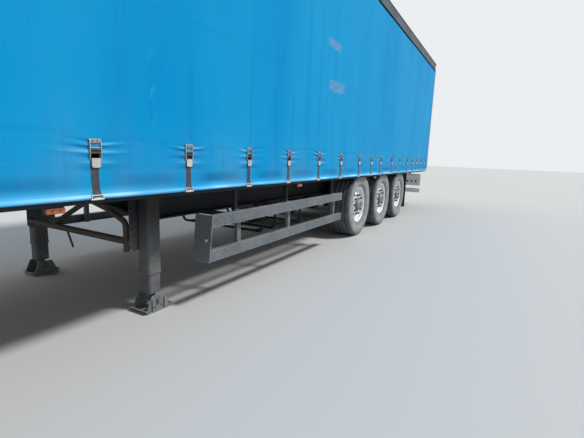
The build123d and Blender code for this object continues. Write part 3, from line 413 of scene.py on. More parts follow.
def makePaint(name):
    look = paintSettings[name]
    coat = startMaterial(name)
    coat.base(coat.ramp(coat.noise(2.5, 4.0), 0.35, 0.65), look["colour"], look["tone"])
    if "mottle" in look:
        flecks = coat.ramp(coat.noise(70.0, 4.0, (1.0, 1.0, 0.6)), 0.38, 0.66)
        coat.lay([1.8 * part for part in look["tone"]], flecks, look["mottle"])
        pits = coat.ramp(coat.noise(45.0, 5.0), 0.58, 0.70)
        coat.lay([0.4 * part for part in look["colour"]], pits, look["mottle"] * 0.7)
    if look["streaks"]:
        streak = coat.noise(14.0, 4.0, (1.0, 1.0, 0.07))
        coat.lay(look["dust"], coat.ramp(streak, 0.48, 0.72), look["streaks"])
    wear = coat.add("Group", {"Vector": coat.vector, "Breakup": 18.0,
                              "Radius": look.get("edgeRadius", 0.004)}, node_tree=edgeGroup)
    coat.lay(look["edge"], wear.outputs["Mask"], look["edgeAmount"])
    if look["rust"]:
        spots = coat.ramp(coat.noise(11.0, 6.0), 0.66 - 0.12 * look["rust"], 0.74)
        coat.lay(rustBrown, spots, min(0.9, 0.35 + look["rust"]))
    mask = coat.dust(look["dust"], 3.5, look["dustAmount"])
    if "shadedFrom" in look:
        # painted shade: the upper part, in the shade under the trailer, is darkened towards black
        start = look["shadedFrom"]
        coat.lay(paintedShadeBlack, coat.ramp(coat.axis("Z"), start, start + 0.38, 0.0, 0.88))
    others = {"Specular IOR Level": look.get("specular", 0.5)}
    if look["metallic"]:
        others["Metallic"] = coat.ramp(mask, 0.0, 0.8, look["metallic"], 0.0)
    rough = coat.ramp(mask, 0.0, 1.0, look["roughness"], 0.9)
    return coat.finish(rough, coat.grain(160.0, 9.0), look["grain"], others=others)


# Curtain cloth

curtainLook = dict(
    blue=(0.000, 0.285, 0.610), lightBlue=(0.006, 0.322, 0.640), deepBlue=(0.001, 0.200, 0.480),
    # painted light: the hem blue and the crease blue are painted highlight, the fold blue is painted
    # shade, the glint blue is a painted glint
    highlightBlue=(0.080, 0.500, 0.860), creaseHighlightBlue=(0.200, 0.560, 0.840), creaseShadeBlue=(0.001, 0.110, 0.340),
    glintBlue=(0.42, 0.76, 0.95), dust=(0.20, 0.30, 0.38), patch=(0.170, 0.330, 0.560),
    seamHeights=(2.24, 3.13), seamHalf=0.014, hemTop=1.060, foldLightX=3.216, roughness=0.56,
    # bands, fine lines, pale clouds and small marks: noise, the ramp on it, share, colour
    layers=((5.5, 3.0, (1.0, 1.0, 0.06), 0.50, 0.74, 0.26, "deepBlue"),
            (22.0, 2.0, (1.0, 1.0, 0.03), 0.60, 0.72, 0.28, "deepBlue"),
            (3.0, 4.0, (1.0, 1.0, 0.35), 0.50, 0.78, 0.40, "lightBlue"),
            (30.0, 2.0, (1.0, 1.0, 0.7), 0.74, 0.80, 0.5, "deepBlue")),
)


def makeCurtainBlue(name, patches):
    look = curtainLook
    hem = look["hemTop"]
    coat = startMaterial(name)
    x = coat.axis("X")
    z = coat.axis("Z")
    broad = coat.noise(1.0, 3.0, (0.9, 1.0, 0.28))
    coat.base(coat.ramp(broad, 0.35, 0.66), look["blue"], look["lightBlue"])
    for scale, detail, stretch, low, high, share, colour in look["layers"]:
        layer = coat.ramp(coat.noise(scale, detail, stretch), low, high)
        coat.lay(look[colour], layer, share)
    seams = coat.calc("MAXIMUM", *(
        coat.ramp(coat.away(z, height), look["seamHalf"] * 1.15, look["seamHalf"] * 0.9)
        for height in look["seamHeights"]))
    coat.lay(look["deepBlue"], seams, 0.13)
    # painted highlight on the crease ridges and painted shade in the creases and folds, from the
    # attribute the curtain mesh carries
    paintedCreaseLight = coat.add("Attribute", {}, attribute_name="paintedCreaseLight").outputs["Fac"]
    coat.lay(look["creaseHighlightBlue"], coat.ramp(paintedCreaseLight, 0.05, 1.0, 0.0, 0.75))
    coat.lay(look["creaseShadeBlue"], coat.ramp(paintedCreaseLight, -0.05, -1.0, 0.0, 0.80))
    broken = coat.noise(1.6, 3.0, (1.0, 1.0, 0.2))
    # painted highlight: a soft lighter band above the hem, and the hem itself lighter
    coat.lay(look["highlightBlue"], coat.ramp(z, hem + 0.050, hem),
             coat.ramp(broken, 0.34, 0.62, 0.20, 0.75))
    coat.lay(look["highlightBlue"], coat.ramp(z, hem + 0.003, hem - 0.008), 0.75)
    # a broken glint along the hem, weaker in front, and the shaded edge below it
    coat.lay(look["glintBlue"], coat.ramp(z, hem, hem - 0.008),
             coat.ramp(z, hem - 0.026, hem - 0.016), coat.ramp(broken, 0.38, 0.60, 0.15, 1.0),
             coat.ramp(x, 4.15, 3.60, 0.35, 1.0))
    coat.lay(look["deepBlue"], coat.ramp(z, hem - 0.018, hem - 0.027, 0.0, 0.75))
    for low, high in patches:
        torn = coat.noise(26.0, 4.0, (0.35, 1.0, 1.0))
        ragged = coat.times(coat.calc("SUBTRACT", torn, 0.5), 0.10)
        shape = coat.ramp(torn, 0.34, 0.62, 0.35, 1.0)
        for axis, start, end in ((x, low[0], high[0]), (z, low[1], high[1])):
            worn = coat.sum(axis, ragged)
            shape = coat.times(shape, coat.ramp(worn, start - 0.02, start + 0.02),
                               coat.ramp(worn, end + 0.02, end - 0.02))
        coat.lay(look["patch"], shape, 0.85)
    # a lumpy upright fold, its shade and highlights painted as darker and lighter lumps
    foldLight = coat.times(coat.ramp(coat.away(x, look["foldLightX"]), 0.034, 0.004),
                     coat.times(coat.ramp(z, 1.46, 1.52), coat.ramp(z, 1.99, 1.92)))
    lumps = coat.noise(15.0, 2.0, (1.6, 1.0, 1.0))
    coat.lay(look["deepBlue"], foldLight, coat.ramp(lumps, 0.52, 0.66, 0.0, 0.50))
    coat.lay(look["highlightBlue"], foldLight, coat.ramp(lumps, 0.46, 0.34, 0.0, 0.18))
    grime = coat.noise(3.0, 6.0, (1.0, 1.0, 0.45))
    lowDust = coat.times(coat.ramp(grime, 0.40, 0.75), coat.ramp(z, 1.7, 1.03, 0.015, 0.22))
    coat.lay(look["dust"], lowDust)
    slack = coat.noise(7.0, 3.0, (1.0, 1.0, 0.25))
    height = coat.sum(coat.times(coat.weave("X", "Z", 350.0), 0.06), coat.times(slack, 1.2))
    height = coat.sum(height, coat.times(seams, 0.25))
    rough = coat.ramp(lowDust, 0.0, 0.25, look["roughness"], 0.66)
    return coat.finish(rough, height, 0.4, 0.004, {"Specular IOR Level": 0.07})


# Webbing, roof cloth, plywood

def makeWebbing():
    coat = startMaterial("strapWebbing")
    weave = coat.weave("X", "Z", 320.0)
    worn = coat.noise(30.0, 4.0)
    coat.base(coat.ramp(worn, 0.35, 0.7), (0.018, 0.019, 0.027), (0.080, 0.076, 0.090))
    coat.lay((0.076, 0.076, 0.094), coat.ramp(weave, -0.4, 0.4, 0.0, 0.5))
    return coat.finish(coat.ramp(worn, 0.3, 0.7, 0.7, 0.85), weave, 0.6, 0.001)


def makeRoofCloth():
    coat = startMaterial("roofCloth")
    cloud = coat.noise(1.3, 5.0)
    coat.base(coat.ramp(cloud, 0.35, 0.68), (0.74, 0.73, 0.66), (0.58, 0.57, 0.51))
    streak = coat.noise(8.0, 4.0, (1.0, 0.08, 1.0))
    coat.lay((0.34, 0.33, 0.29), coat.ramp(streak, 0.5, 0.75), 0.45)
    height = coat.sum(coat.times(coat.weave("X", "Y", 350.0), 0.08), cloud)
    return coat.finish(coat.ramp(cloud, 0.3, 0.7, 0.5, 0.72), height, 0.4, 0.004)


def makePlywood():
    coat = startMaterial("plywoodDeck")
    grain = coat.noise(30.0, 5.0, (0.06, 1.0, 1.0))
    coat.base(coat.ramp(grain, 0.3, 0.7), (0.10, 0.055, 0.032), (0.20, 0.12, 0.07))
    scuff = coat.noise(5.0, 6.0, (0.4, 1.0, 1.0))
    coat.lay((0.30, 0.24, 0.18), coat.ramp(scuff, 0.55, 0.8), 0.6)
    return coat.finish(coat.ramp(scuff, 0.3, 0.8, 0.45, 0.8), grain, 0.3, 0.001)


# Rubber and plastic

rubberSettings = {
    "blackRubber": dict(colour=(0.018, 0.018, 0.019), dust=(0.12, 0.11, 0.10), amount=0.7,
                        roughness=0.75, grain=0.4),
    # a near-black for the strips that are painted shadow lines under the roof rim and the rail
    "shadowLineBlack": dict(colour=(0.004, 0.006, 0.012), dust=(0.016, 0.020, 0.030), amount=0.5,
                       roughness=0.8, grain=0.3, specular=0.03),
    "blackPlastic": dict(colour=(0.014, 0.015, 0.017), dust=(0.13, 0.12, 0.11), amount=0.5,
                         roughness=0.5, grain=0.2),
}


def makeRubber(name):
    look = rubberSettings[name]
    coat = startMaterial(name)
    coat.colour = look["colour"]
    mask = coat.dust(look["dust"], 5.0, look["amount"])
    rough = coat.ramp(mask, 0.0, 1.0, look["roughness"], 0.92)
    return coat.finish(rough, coat.grain(240.0, 14.0), look["grain"], 0.001,
                       {"Specular IOR Level": look.get("specular", 0.5)})


lensSettings = {
    "redLens": dict(colour=(0.42, 0.012, 0.012), ribs=180.0),
    "amberLens": dict(colour=(0.56, 0.13, 0.022), ribs=220.0),
    "clearLens": dict(colour=(0.62, 0.62, 0.60), ribs=160.0),
    "amberSpot": dict(colour=(0.30, 0.045, 0.010), ribs=90.0),
    "redCoupling": dict(colour=(0.50, 0.015, 0.012), ribs=20.0),
    "yellowCoupling": dict(colour=(0.70, 0.42, 0.020), ribs=20.0),
}


def makeLens(name):
    look = lensSettings[name]
    coat = startMaterial(name)
    along = coat.sum(coat.axis("X"), coat.axis("Y"))
    ribs = coat.calc("SINE", coat.times(along, look["ribs"] * math.tau))
    coat.colour = look["colour"]
    mask = coat.dust((0.30, 0.27, 0.23), 9.0, 0.35)
    return coat.finish(coat.ramp(mask, 0, 0.5, 0.22, 0.6), ribs, 0.25, 0.0006,
                       {"Coat Weight": 0.5})


# Tyre rubber and wheel paint

tyreLook = dict(side=(0.225, 0.233, 0.237), paleSide=(0.355, 0.365, 0.364),
                ring=(0.12, 0.125, 0.13), bead=(0.12, 0.126, 0.13), crown=(0.066, 0.078, 0.096),
                paleCrown=(0.125, 0.142, 0.165), groove=(0.015, 0.015, 0.015),
                dust=(0.30, 0.29, 0.27))


def makeTyreRubber():
    # UV: u is turns round the tyre, v is the radius in metres
    look = tyreLook
    coat = startMaterial("tyreRubber")
    uv = coat.add("SeparateXYZ", {0: coat.add("UVMap", {}, uv_map="round").outputs["UV"]})
    radius = uv.outputs["Y"]
    y = coat.axis("Y")
    cloud = coat.noise(9.0, 5.0)
    crown = coat.mix(coat.ramp(cloud, 0.35, 0.65), look["crown"], look["paleCrown"])
    coat.base(coat.ramp(cloud, 0.3, 0.7), look["side"], look["paleSide"])
    rings = coat.calc("SINE", coat.times(radius, 260.0))
    coat.lay(look["ring"], coat.ramp(rings, 0.6, 1.0, 0.0, 0.22))
    coat.lay(look["bead"], coat.ramp(radius, 0.372, 0.335, 0.0, 0.55))
    # the crown darker and bluer: partly the tread's own darker rubber, partly painted shade
    coat.lay(crown, coat.ramp(radius, 0.474, 0.507))
    across = coat.away(coat.calc("ABSOLUTE", y), wheelY)
    # the grooves darker: painted shade in the recesses
    groove = coat.times(coat.ramp(radius, 0.529, 0.524), coat.ramp(across, 0.135, 0.125))
    coat.lay(look["groove"], groove, 0.75)
    mask = coat.dust(look["dust"], 6.0, 0.30)
    # thin zigzag cuts across the tread, darkened as painted shade in the cuts
    zigzag = coat.away(coat.calc("FRACT", coat.times(y, 16.0)), 0.5)
    sipe = coat.calc("FRACT", coat.sum(coat.times(uv.outputs["X"], 84.0), zigzag))
    cut = coat.times(coat.ramp(sipe, 0.86, 0.93), coat.ramp(radius, 0.529, 0.532))
    coat.lay(look["groove"], cut, 0.8)
    height = coat.calc("SUBTRACT", coat.times(coat.grain(260.0, 20.0), 0.15), cut)
    height = coat.sum(height, coat.times(rings, 0.06))
    return coat.finish(coat.ramp(mask, 0.0, 0.6, 0.78, 0.93), height, 0.8, 0.004)


wheelLook = dict(silver=(0.88, 0.89, 0.90), grey=(0.72, 0.73, 0.75), hub=(0.30, 0.30, 0.305),
                 drum=(0.030, 0.022, 0.018), rust=(0.16, 0.075, 0.035), dust=(0.40, 0.38, 0.35),
                 hubRadius=0.0985, flangeRadius=0.1735, flangeY=1.1495, drumRadius=0.2175,
                 drumInnerY=1.0705)


def makeWheelSilver(index):
    look = wheelLook
    coat = startMaterial(f"wheelSilver{index}")
    centred = coat.add("Mapping", {"Vector": coat.vector,
                                   "Location": (-axles[index], 0, -wheelZ)})
    axes = coat.add("SeparateXYZ", {0: centred.outputs["Vector"]}).outputs
    radius = coat.calc("SQRT", coat.sum(coat.calc("POWER", axes["X"], 2.0),
                                        coat.calc("POWER", axes["Z"], 2.0)))
    y = coat.calc("ABSOLUTE", axes["Y"])
    coat.base(coat.ramp(coat.noise(8.0, 5.0), 0.3, 0.7), look["silver"], look["grey"])
    around = coat.times(coat.ramp(radius, 0.20, 0.155),
                        coat.ramp(coat.noise(22.0, 5.0), 0.40, 0.75))
    coat.lay(look["rust"], around, 0.28)
    coat.lay(look["hub"], coat.ramp(radius, look["hubRadius"] + 0.0015,
                                    look["hubRadius"] - 0.0015), 0.75)
    # the drum and the hub's flange are dark, partly their own dark iron and partly painted shade
    # behind the disc: what lies within a radius and inward of a Y
    dark = coat.calc("MAXIMUM", *(
        coat.times(coat.ramp(y, inner, inner - 0.002), coat.ramp(radius, rim + 0.001, rim - 0.001))
        for inner, rim in ((look["drumInnerY"], look["drumRadius"]),
                           (look["flangeY"], look["flangeRadius"]))))
    coat.lay(look["drum"], dark, 0.95)
    mask = coat.dust(look["dust"], 7.0, 0.22)
    metal = coat.calc("SUBTRACT", 0.25, coat.times(mask, 0.6), True)
    return coat.finish(coat.ramp(mask, 0.0, 0.7, 0.40, 0.8), coat.grain(150.0, 12.0), 0.15,
                       others={"Metallic": metal})


wornPatches = [((0.13, 2.675), (0.52, 2.765)), ((-0.06, 2.160), (0.44, 2.290))]
paints = {name: makePaint(name) for name in paintSettings}
curtainBlueLeft = makeCurtainBlue("curtainBlueLeft", wornPatches)
curtainBlueRight = makeCurtainBlue("curtainBlueRight", [])
webbing = makeWebbing()
roofCloth = makeRoofCloth()
plywood = makePlywood()
rubbers = {name: makeRubber(name) for name in rubberSettings}
lenses = {name: makeLens(name) for name in lensSettings}
tyreRubber = makeTyreRubber()
wheelSilver = {index: makeWheelSilver(index) for index in axles}
print("materials ready")


# Carried-over CAD nodes

nodeFinish = (
    (paints["chassisPaint"], (
        "main_beams", "cross_members", "side_raves", "leg_brackets", "guard_hangers",
        "axle_beams", "spring_hangers", "trailing_arms", "brake_chambers", "mudflap_arms",
        "air_tanks", "spare_basket")),
    (paints["legPaint"], ("leg_tubes", "leg_sliders", "leg_gear")),
    (paints["footSteel"], ("leg_feet",)),
    (paints["guardSteel"], ("side_guards",)),
    (paints["brownBrace"], ("leg_bracing",)),
    (paints["wornSteel"], ("coupling_plate", "kingpin")),
    (paints["palePaint"], ("front_wall", "rear_frame", "door_left", "door_right")),
    (paints["anodisedRail"], ("cantrails", "side_slats")),
    (paints["zincPlate"], ("roof_bows", "side_pillars", "lock_bars_left", "lock_bars_right")),
    (paints["lampPlateGrey"], ("lamp_plates", "underrun_bar")),
    (plywood, ("floor_deck",)),
    (rubbers["blackRubber"], ("air_springs", "mudflaps")),
    (rubbers["blackPlastic"], ("mudguards",)),
    *((wheelSilver[index], (f"wheel_{index}_left", f"wheel_{index}_right")) for index in axles),
)


def dress(node, material):
    if not node.material_slots:
        node.data.materials.append(material)
    for slot in node.material_slots:
        slot.material = material


for material, members in nodeFinish:
    for member in members:
        dress(nodes[member], material)
print("CAD nodes dressed")


# Curtains

buckleX = [length * share for share in (
    0.4309, 0.3757, 0.3213, 0.2669, 0.2125, 0.1566, 0.1029, 0.0471, -0.0059, -0.0625,
    -0.1088, -0.1478, -0.2059, -0.2529, -0.3066, -0.3456, -0.3824, -0.4221, -0.461)]
curtainSettings = dict(
    rear=-6.655, front=6.718, low=1.030, fold=0.0050, billow=0.0150, wrinkle=0.0060,
    flare=0.0150, thick=0.0022, nearStep=0.020, farStep=0.048, nearReach=0.17, seedLeft=17.3,
    seedRight=58.9, uprightShadowHalf=0.014,
    # rows of the mesh: low, high, count
    rowBands=((1.030, 1.110, 14), (1.110, 1.270, 20), (1.270, 1.380, 30), (1.380, 1.50, 10),
              (1.50, 3.950, 25)),
    # painted shadows, upright dark lines where the cloth lies on posts above some straps: place,
    # low, top, strength
    uprightShadows=((5.110, 1.40, 2.20, -0.35), (4.370, 1.39, 2.35, -0.35), (2.855, 1.38, 2.30, -0.50),
              (2.112, 1.38, 2.50, -0.48), (1.345, 1.38, 2.35, -0.52), (0.686, 1.38, 2.25, -0.42),
              (-0.059, 1.38, 2.10, -0.45), (-0.870, 1.38, 2.00, -0.40), (-2.020, 1.38, 2.00, -0.35)),
    # ridges beside a strap, shaped and also painted lighter where they stand out and darker where
    # they sink, as highlight and shade: height, slope away from it, width, strength
    ridges=((1.358, 0.12, 0.0080, -0.7), (1.340, 0.09, 0.0080, 1.0), (1.322, 0.06, 0.0080, -0.9),
            (1.300, 0.02, 0.0110, 0.6), (1.276, -0.01, 0.0120, -0.7), (1.246, -0.04, 0.0150, 0.6),
            (1.208, -0.07, 0.0180, -0.6)),
)


def hump(z, low, lowEnd, high, highEnd):
    # rises to 1 between low and lowEnd, and falls to 0 between high and highEnd
    return smooth(low, lowEnd, z) * (1 - smooth(high, highEnd, z))


def bell(value):
    return math.exp(-value ** 2)


def curtainOffset(x, z, seed):
    # how far the cloth stands out at a place, and the highlight and shade painted for its creases
    # there
    cut = curtainSettings
    wave = 0.6 * wavy(x * 2.1 + seed, z * 0.14, 0.3)
    wave += 0.45 * wavy(x * 6.3 + seed, z * 0.30, 4.2)
    offset = cut["fold"] * max(0.0, wave + 0.3) * hump(z, 1.34, 1.95, 3.35, 3.78)
    nearest = min(abs(x - place) for place in buckleX)
    between = smooth(0.03, 0.24, nearest)
    lobes = min(1.2, max(0.15, 0.85 + 0.6 * wavy(x * 1.9 + seed, 2.5, 0))) * between
    offset += cut["billow"] * lobes * hump(z, 1.075, 1.185, 1.215, 1.60)
    # painted shade: a dark band under the billow above the hem, and a faint dark line along a fold
    # higher up
    paintedCreaseLight = -0.48 * hump(z, 1.070, 1.115, 1.130, 1.200) * lobes
    level = 1.385 + 0.03 * wavy(x * 0.7 + seed, 5.5, 0)
    paintedCreaseLight -= 0.30 * bell((z - level) / 0.020) * between
    # the ridges beside each strap: shaped, and painted lighter as highlight and darker as shade
    for place in buckleX:
        away = abs(x - place)
        if away < 0.45 and 1.08 < z < 1.46:
            side = 1 if x > place else -1
            for number, (level, slope, wide, strength) in enumerate(cut["ridges"]):
                chance = wavy(place * 5.3 + seed, number * 1.7, side)
                reach = bell(away / (0.14 + 0.09 * chance))
                off = (z - level - slope * away * (1 + chance)) / wide
                ridge = strength * (1 + chance) * reach * bell(off)
                offset += cut["wrinkle"] * ridge * smooth(0.024, 0.045, away)
                paintedCreaseLight += ridge * smooth(0.0, 0.03, away)
    # painted shadows: upright dark lines above some straps
    for place, low, top, strength in cut["uprightShadows"]:
        off = (x - place - 0.012 * wavy(z * 1.6, place, seed)) / cut["uprightShadowHalf"]
        if abs(off) < 3:
            paintedCreaseLight += strength * bell(off) * hump(z, low - 0.02, low + 0.05, top - 0.55, top)
    held = 0.25 + 0.75 * smooth(0.03, 0.16, nearest)
    offset += cut["flare"] * held * smooth(1.074, 1.036, z)
    return max(0.0, offset + 0.004), max(-1.0, min(1.0, paintedCreaseLight))


def curtainColumns():
    # places along the trailer, closer together beside the straps
    cut = curtainSettings
    places = [cut["rear"]]
    while places[-1] < cut["front"]:
        nearest = min(abs(places[-1] - place) for place in buckleX)
        step = cut["nearStep"] if nearest < cut["nearReach"] else cut["farStep"]
        places.append(min(cut["front"], places[-1] + step))
    return places


def curtainRows():
    places = [curtainSettings["low"]]
    for low, high, count in curtainSettings["rowBands"]:
        places += [low + (high - low) * (step + 1) / count for step in range(count)]
    return places


def addSheet(bm, across, up):
    # a flat grid that reaches from -0.5 to 0.5 in X and Y, to be shaped by its caller
    return bmesh.ops.create_grid(bm, x_segments=across, y_segments=up, size=0.5)["verts"]


def makeCurtain(stem, side, material):
    cut = curtainSettings
    seed = cut["seed" + stem]
    columns = curtainColumns()
    rows = curtainRows()
    bm = bmesh.new()
    addSheet(bm, len(columns) - 1, len(rows) - 1)
    # painted highlight and shade of the creases, carried to the cloth's colour
    layer = bm.verts.layers.float.new("paintedCreaseLight")
    for vert in bm.verts:
        x = columns[round((vert.co.x + 0.5) * (len(columns) - 1))]
        z = rows[round((vert.co.y + 0.5) * (len(rows) - 1))]
        offset, paintedCreaseLight = curtainOffset(x, z, seed)
        z += 0.003 * wavy(x * 1.9 + seed, 7.7, 0) * (1 - smooth(1.03, 1.2, z))
        vert.co = (x, side * (curtainFace + offset), z)
        vert[layer] = paintedCreaseLight
    piece = finishSheet(bm, "curtainSheet" + stem, material, (0, side, 0),
                        cut["thick"])
    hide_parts("curtain_" + stem.lower())


makeCurtain("Left", 1, curtainBlueLeft)
makeCurtain("Right", -1, curtainBlueRight)
print("curtains made")


# Buckles, straps and hooks

buckleSettings = dict(back=1.2703, top=1.375, low=1.262, leverLow=1.212, half=0.036, cheek=0.0045,
                      leverHalf=0.0275, strapHalf=0.025, strapThick=0.002, strapLow=1.041,
                      strapTop=1.322, hookIn=1.2437, hookLow=1.0240)


def addBuckleHead(bm, x):
    cut = buckleSettings
    back = cut["back"]
    top = cut["top"]
    low = cut["low"]
    half = cut["half"]
    for start in (x - half, x + half - cut["cheek"]):
        outline = [(start, back + out, z) for out, z in (
            (0, low), (0, top), (0.008, top), (0.0165, top - 0.014), (0.0165, low + 0.02),
            (0.012, low))]
        addExtrusion(bm, outline, (cut["cheek"], 0, 0))
    addBoxX(bm, x, half, (back + 0.003, top - 0.023), (back + 0.0105, top), 0.0015)
    addRodX(bm, x, half + 0.001, back + 0.010, top - 0.050, 0.0038)


def addBuckleLever(bm, x):
    cut = buckleSettings
    back = cut["back"]
    tip = cut["leverLow"]
    top = cut["low"] + 0.004
    outline = [(x + side * (cut["leverHalf"] - inset), back + 0.0115, z) for side, inset, z in (
        (-1, 0, top), (1, 0, top), (1, 0, tip + 0.010), (1, 0.004, tip + 0.003), (1, 0.011, tip),
        (-1, 0.011, tip), (-1, 0.004, tip + 0.003), (-1, 0, tip + 0.010))]
    start = len(bm.verts)
    addExtrusion(bm, outline, (0, 0.0022, 0))
    bm.verts.ensure_lookup_table()
    for vert in bm.verts[start:]:
        # the plate stands out in a shallow bow
        vert.co.y += 0.0045 * (1 - ((vert.co.z - tip) / (top - tip) - 0.65) ** 2 * 2.3)
    addRodX(bm, x, cut["leverHalf"], back + 0.0150, cut["low"] + 0.001, 0.0028)


def addBuckleRollers(bm, x):
    # the strap on its rollers, the slot below, two rivet eyes, and the hook's tail under the rail
    cut = buckleSettings
    back = cut["back"]
    low = cut["low"]
    inner = cut["half"] - cut["cheek"]
    for z, radius in ((low + 0.053, 0.0085), (low + 0.035, 0.0070)):
        addRodX(bm, x, inner, back + 0.0085, z, radius, 12)
    addBoxX(bm, x, inner, (back + 0.001, low), (back + 0.004, low + 0.045), 0.0005)
    for side in (-0.40, 0.40):
        eye = (x + side * cut["half"], back + 0.0100, cut["top"] - 0.0115)
        addPin(bm, eye, (0, 0.0012, 0), 0.0052, 12)
    addBoxX(bm, x, 0.022, (1.2330, 1.004), (1.2430, 1.0435), 0.002)


def addHook(bm, x):
    cut = buckleSettings
    plate = cut["back"] + 0.0125
    wire = plate + 0.001
    low = cut["hookLow"]
    addRodX(bm, x, 0.028, wire, 1.052, 0.0038)
    outline = [(x + side, plate, z) for side, z in (
        (-0.021, 1.049), (0.021, 1.049), (0.025, low), (-0.025, low))]
    addExtrusion(bm, outline, (0, 0.0030, 0))
    for side in (-1, 1):
        addRod(bm, (x + side * 0.030, wire, 1.060), (x + side * 0.038, wire, 1.028), 0.0040, 10)
    addRodX(bm, x, 0.039, wire, 1.0285, 0.0042)
    addBoxX(bm, x, 0.034, (cut["hookIn"], low), (wire, low + 0.0030), 0.0008)
    addBoxX(bm, x, 0.034, (cut["hookIn"], low), (cut["hookIn"] + 0.0030, 1.0445), 0.0008)


def addStrap(bm, x):
    # one webbing strip from under the rollers down over the hook's bar
    cut = buckleSettings
    back = cut["back"]
    made = addSheet(bm, 3, 24)
    for vert in made:
        across = 2 * vert.co.x * cut["strapHalf"]
        z = cut["strapLow"] + (vert.co.y + 0.5) * (cut["strapTop"] - cut["strapLow"])
        middle = math.sin(math.pi * (vert.co.y + 0.5))
        drift = 0.010 * middle * wavy(x * 3.3, z * 3, 0)
        out = curtainOffset(x + across, z, curtainSettings["seedLeft"])[0] + back - 0.0015
        out += 0.0022 * middle * (1 + wavy(x, z * 14, across * 20))
        out = max(out, back + 0.004, back + 0.0168 - max(0.0, z - 1.056) * 0.6)
        vert.co = (x + across + drift, out, z)
    thickenStrip(bm, made, cut["strapThick"])


def makeBuckles(stem, addPart, material):
    bm = bmesh.new()
    for place in buckleX:
        addPart(bm, place)
    return finishBoth(bm, stem, material)


heads = makeBuckles("buckleHeads", addBuckleHead, paints["buckleZinc"])
makeBuckles("buckleLevers", addBuckleLever, paints["leverCream"])
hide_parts("buckles_left")
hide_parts("buckles_right")
makeBuckles("strapHooks", addHook, paints["hookZinc"])
makeBuckles("buckleStraps", addStrap, webbing)
makeBuckles("buckleRollers", addBuckleRollers, webbing)
print("buckles made")


# Roof cover

roofSettings = dict(rear=-6.717, front=6.770, eaves=3.985, camber=0.011, lift=0.0035, sag=0.0075,
                    thick=0.0030, firstBow=-6.340, lastBow=6.360, bows=19, bowWide=0.050)


def makeRoof():
    cut = roofSettings
    pitch = (cut["lastBow"] - cut["firstBow"]) / (cut["bows"] - 1)
    bm = bmesh.new()
    for vert in addSheet(bm, 260, 24):
        x = cut["rear"] + (vert.co.x + 0.5) * (cut["front"] - cut["rear"])
        y = vert.co.y * 2 * halfWidth
        crown = 1 - (y / halfWidth) ** 2
        bay = (x - cut["firstBow"] - cut["bowWide"] / 2) / pitch
        dip = math.sin(math.pi * (bay - math.floor(bay))) ** 2
        dip *= 0.8 + 0.4 * wavy(x, y * 1.3, 9.0)
        inside = smooth(0.0, 0.25, crown)
        z = cut["eaves"] + cut["lift"] + cut["camber"] * crown - cut["sag"] * dip * inside
        vert.co = (x, y, z)
    piece = finishSheet(bm, "roofCover", roofCloth, (0, 0, 1), cut["thick"])
    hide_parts("roof_skin")


makeRoof()
print("roof made")


# Tyres

tyreSettings = dict(
    steps=144, radius=0.535, grooves=(-0.105, -0.037, 0.037, 0.105), grooveHalf=0.0065,
    grooveDeep=0.0125, grooveRound=0.0015, lugEvery=4, lugDeep=0.0045, lugFrom=0.140, lugTo=0.182,
    lugRadius=0.505,
    # one side wall from the bead to the crown: out from the middle, radius
    side=((0.148, 0.2866), (0.149, 0.303), (0.157, 0.3065), (0.164, 0.309), (0.171, 0.320),
          (0.179, 0.343), (0.186, 0.370), (0.1912, 0.402), (0.1925, 0.4185), (0.1917, 0.437),
          (0.1896, 0.456), (0.1885, 0.4625), (0.1905, 0.4650), (0.1898, 0.4725),
          (0.1872, 0.4750), (0.1855, 0.490), (0.1838, 0.503), (0.1800, 0.514),
          (0.1745, 0.5235), (0.1650, 0.5300), (0.1500, 0.5335)),
)


def tyreProfile():
    cut = tyreSettings
    half = cut["grooveHalf"]
    lip = cut["grooveRound"]
    groove = [(half + lip, 0), (half, lip), (half - 0.002, cut["grooveDeep"])]
    groove += [(-y, deep) for y, deep in reversed(groove)]
    tread = [(middle + y, cut["radius"] - deep) for middle in reversed(cut["grooves"])
             for y, deep in groove]
    return [*cut["side"], *tread, *((-y, radius) for y, radius in reversed(cut["side"]))]


def makeTyre(index, side, sign):
    cut = tyreSettings
    centre = Vector((axles[index], sign * wheelY, wheelZ))
    bm = bmesh.new()
    addTurned(bm, tyreProfile(), centre, cut["steps"])
    step = math.tau / cut["steps"]
    for vert in bm.verts:
        offset = vert.co - centre
        radius = math.hypot(offset.x, offset.z)
        count = round(math.atan2(offset.x, offset.z) / step)
        shoulder = cut["lugFrom"] < abs(offset.y) < cut["lugTo"] and radius > cut["lugRadius"]
        if shoulder and count % cut["lugEvery"] == 0:
            shrink = 1 - cut["lugDeep"] / radius
            vert.co.x = centre.x + offset.x * shrink
            vert.co.z = centre.z + offset.z * shrink
    bmesh.ops.recalc_face_normals(bm, faces=bm.faces)
    layer = bm.loops.layers.uv.new("round")
    for face in bm.faces:
        offsets = [loop.vert.co - centre for loop in face.loops]
        turns = [math.atan2(offset.x, offset.z) / math.tau for offset in offsets]
        seam = max(turns) - min(turns) > 0.5
        for loop, offset, turn in zip(face.loops, offsets, turns):
            wrap = 1 if seam and turn < 0 else 0
            loop[layer].uv = (turn + wrap, math.hypot(offset.x, offset.z))
    piece = finishPiece(bm, f"tyreTread{index}{side.capitalize()}", f"road_wheel_{index}_{side}",
                        tyreRubber, 50, False)
    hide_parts(f"tyre_{index}_{side}")


# Wheel nuts, hub caps and valves

hubSettings = dict(nuts=10, ring=0.1645, faceY=0.134, size=0.0165, washer=0.005, reach=0.026,
                   studReach=0.036, ribs=10, valve=(0.243, 0.090, 0), valveBend=(-0.004, 0.055, 0),
                   collar=((0.1392, 0.1060), (0.1500, 0.1020), (0.1590, 0.0950), (0.1560, 0.0925),
                           (0.1392, 0.0995)),
                   cap=((0.1880, 0.0600), (0.1900, 0.0585), (0.1900, 0.0480), (0.1880, 0.0460)))


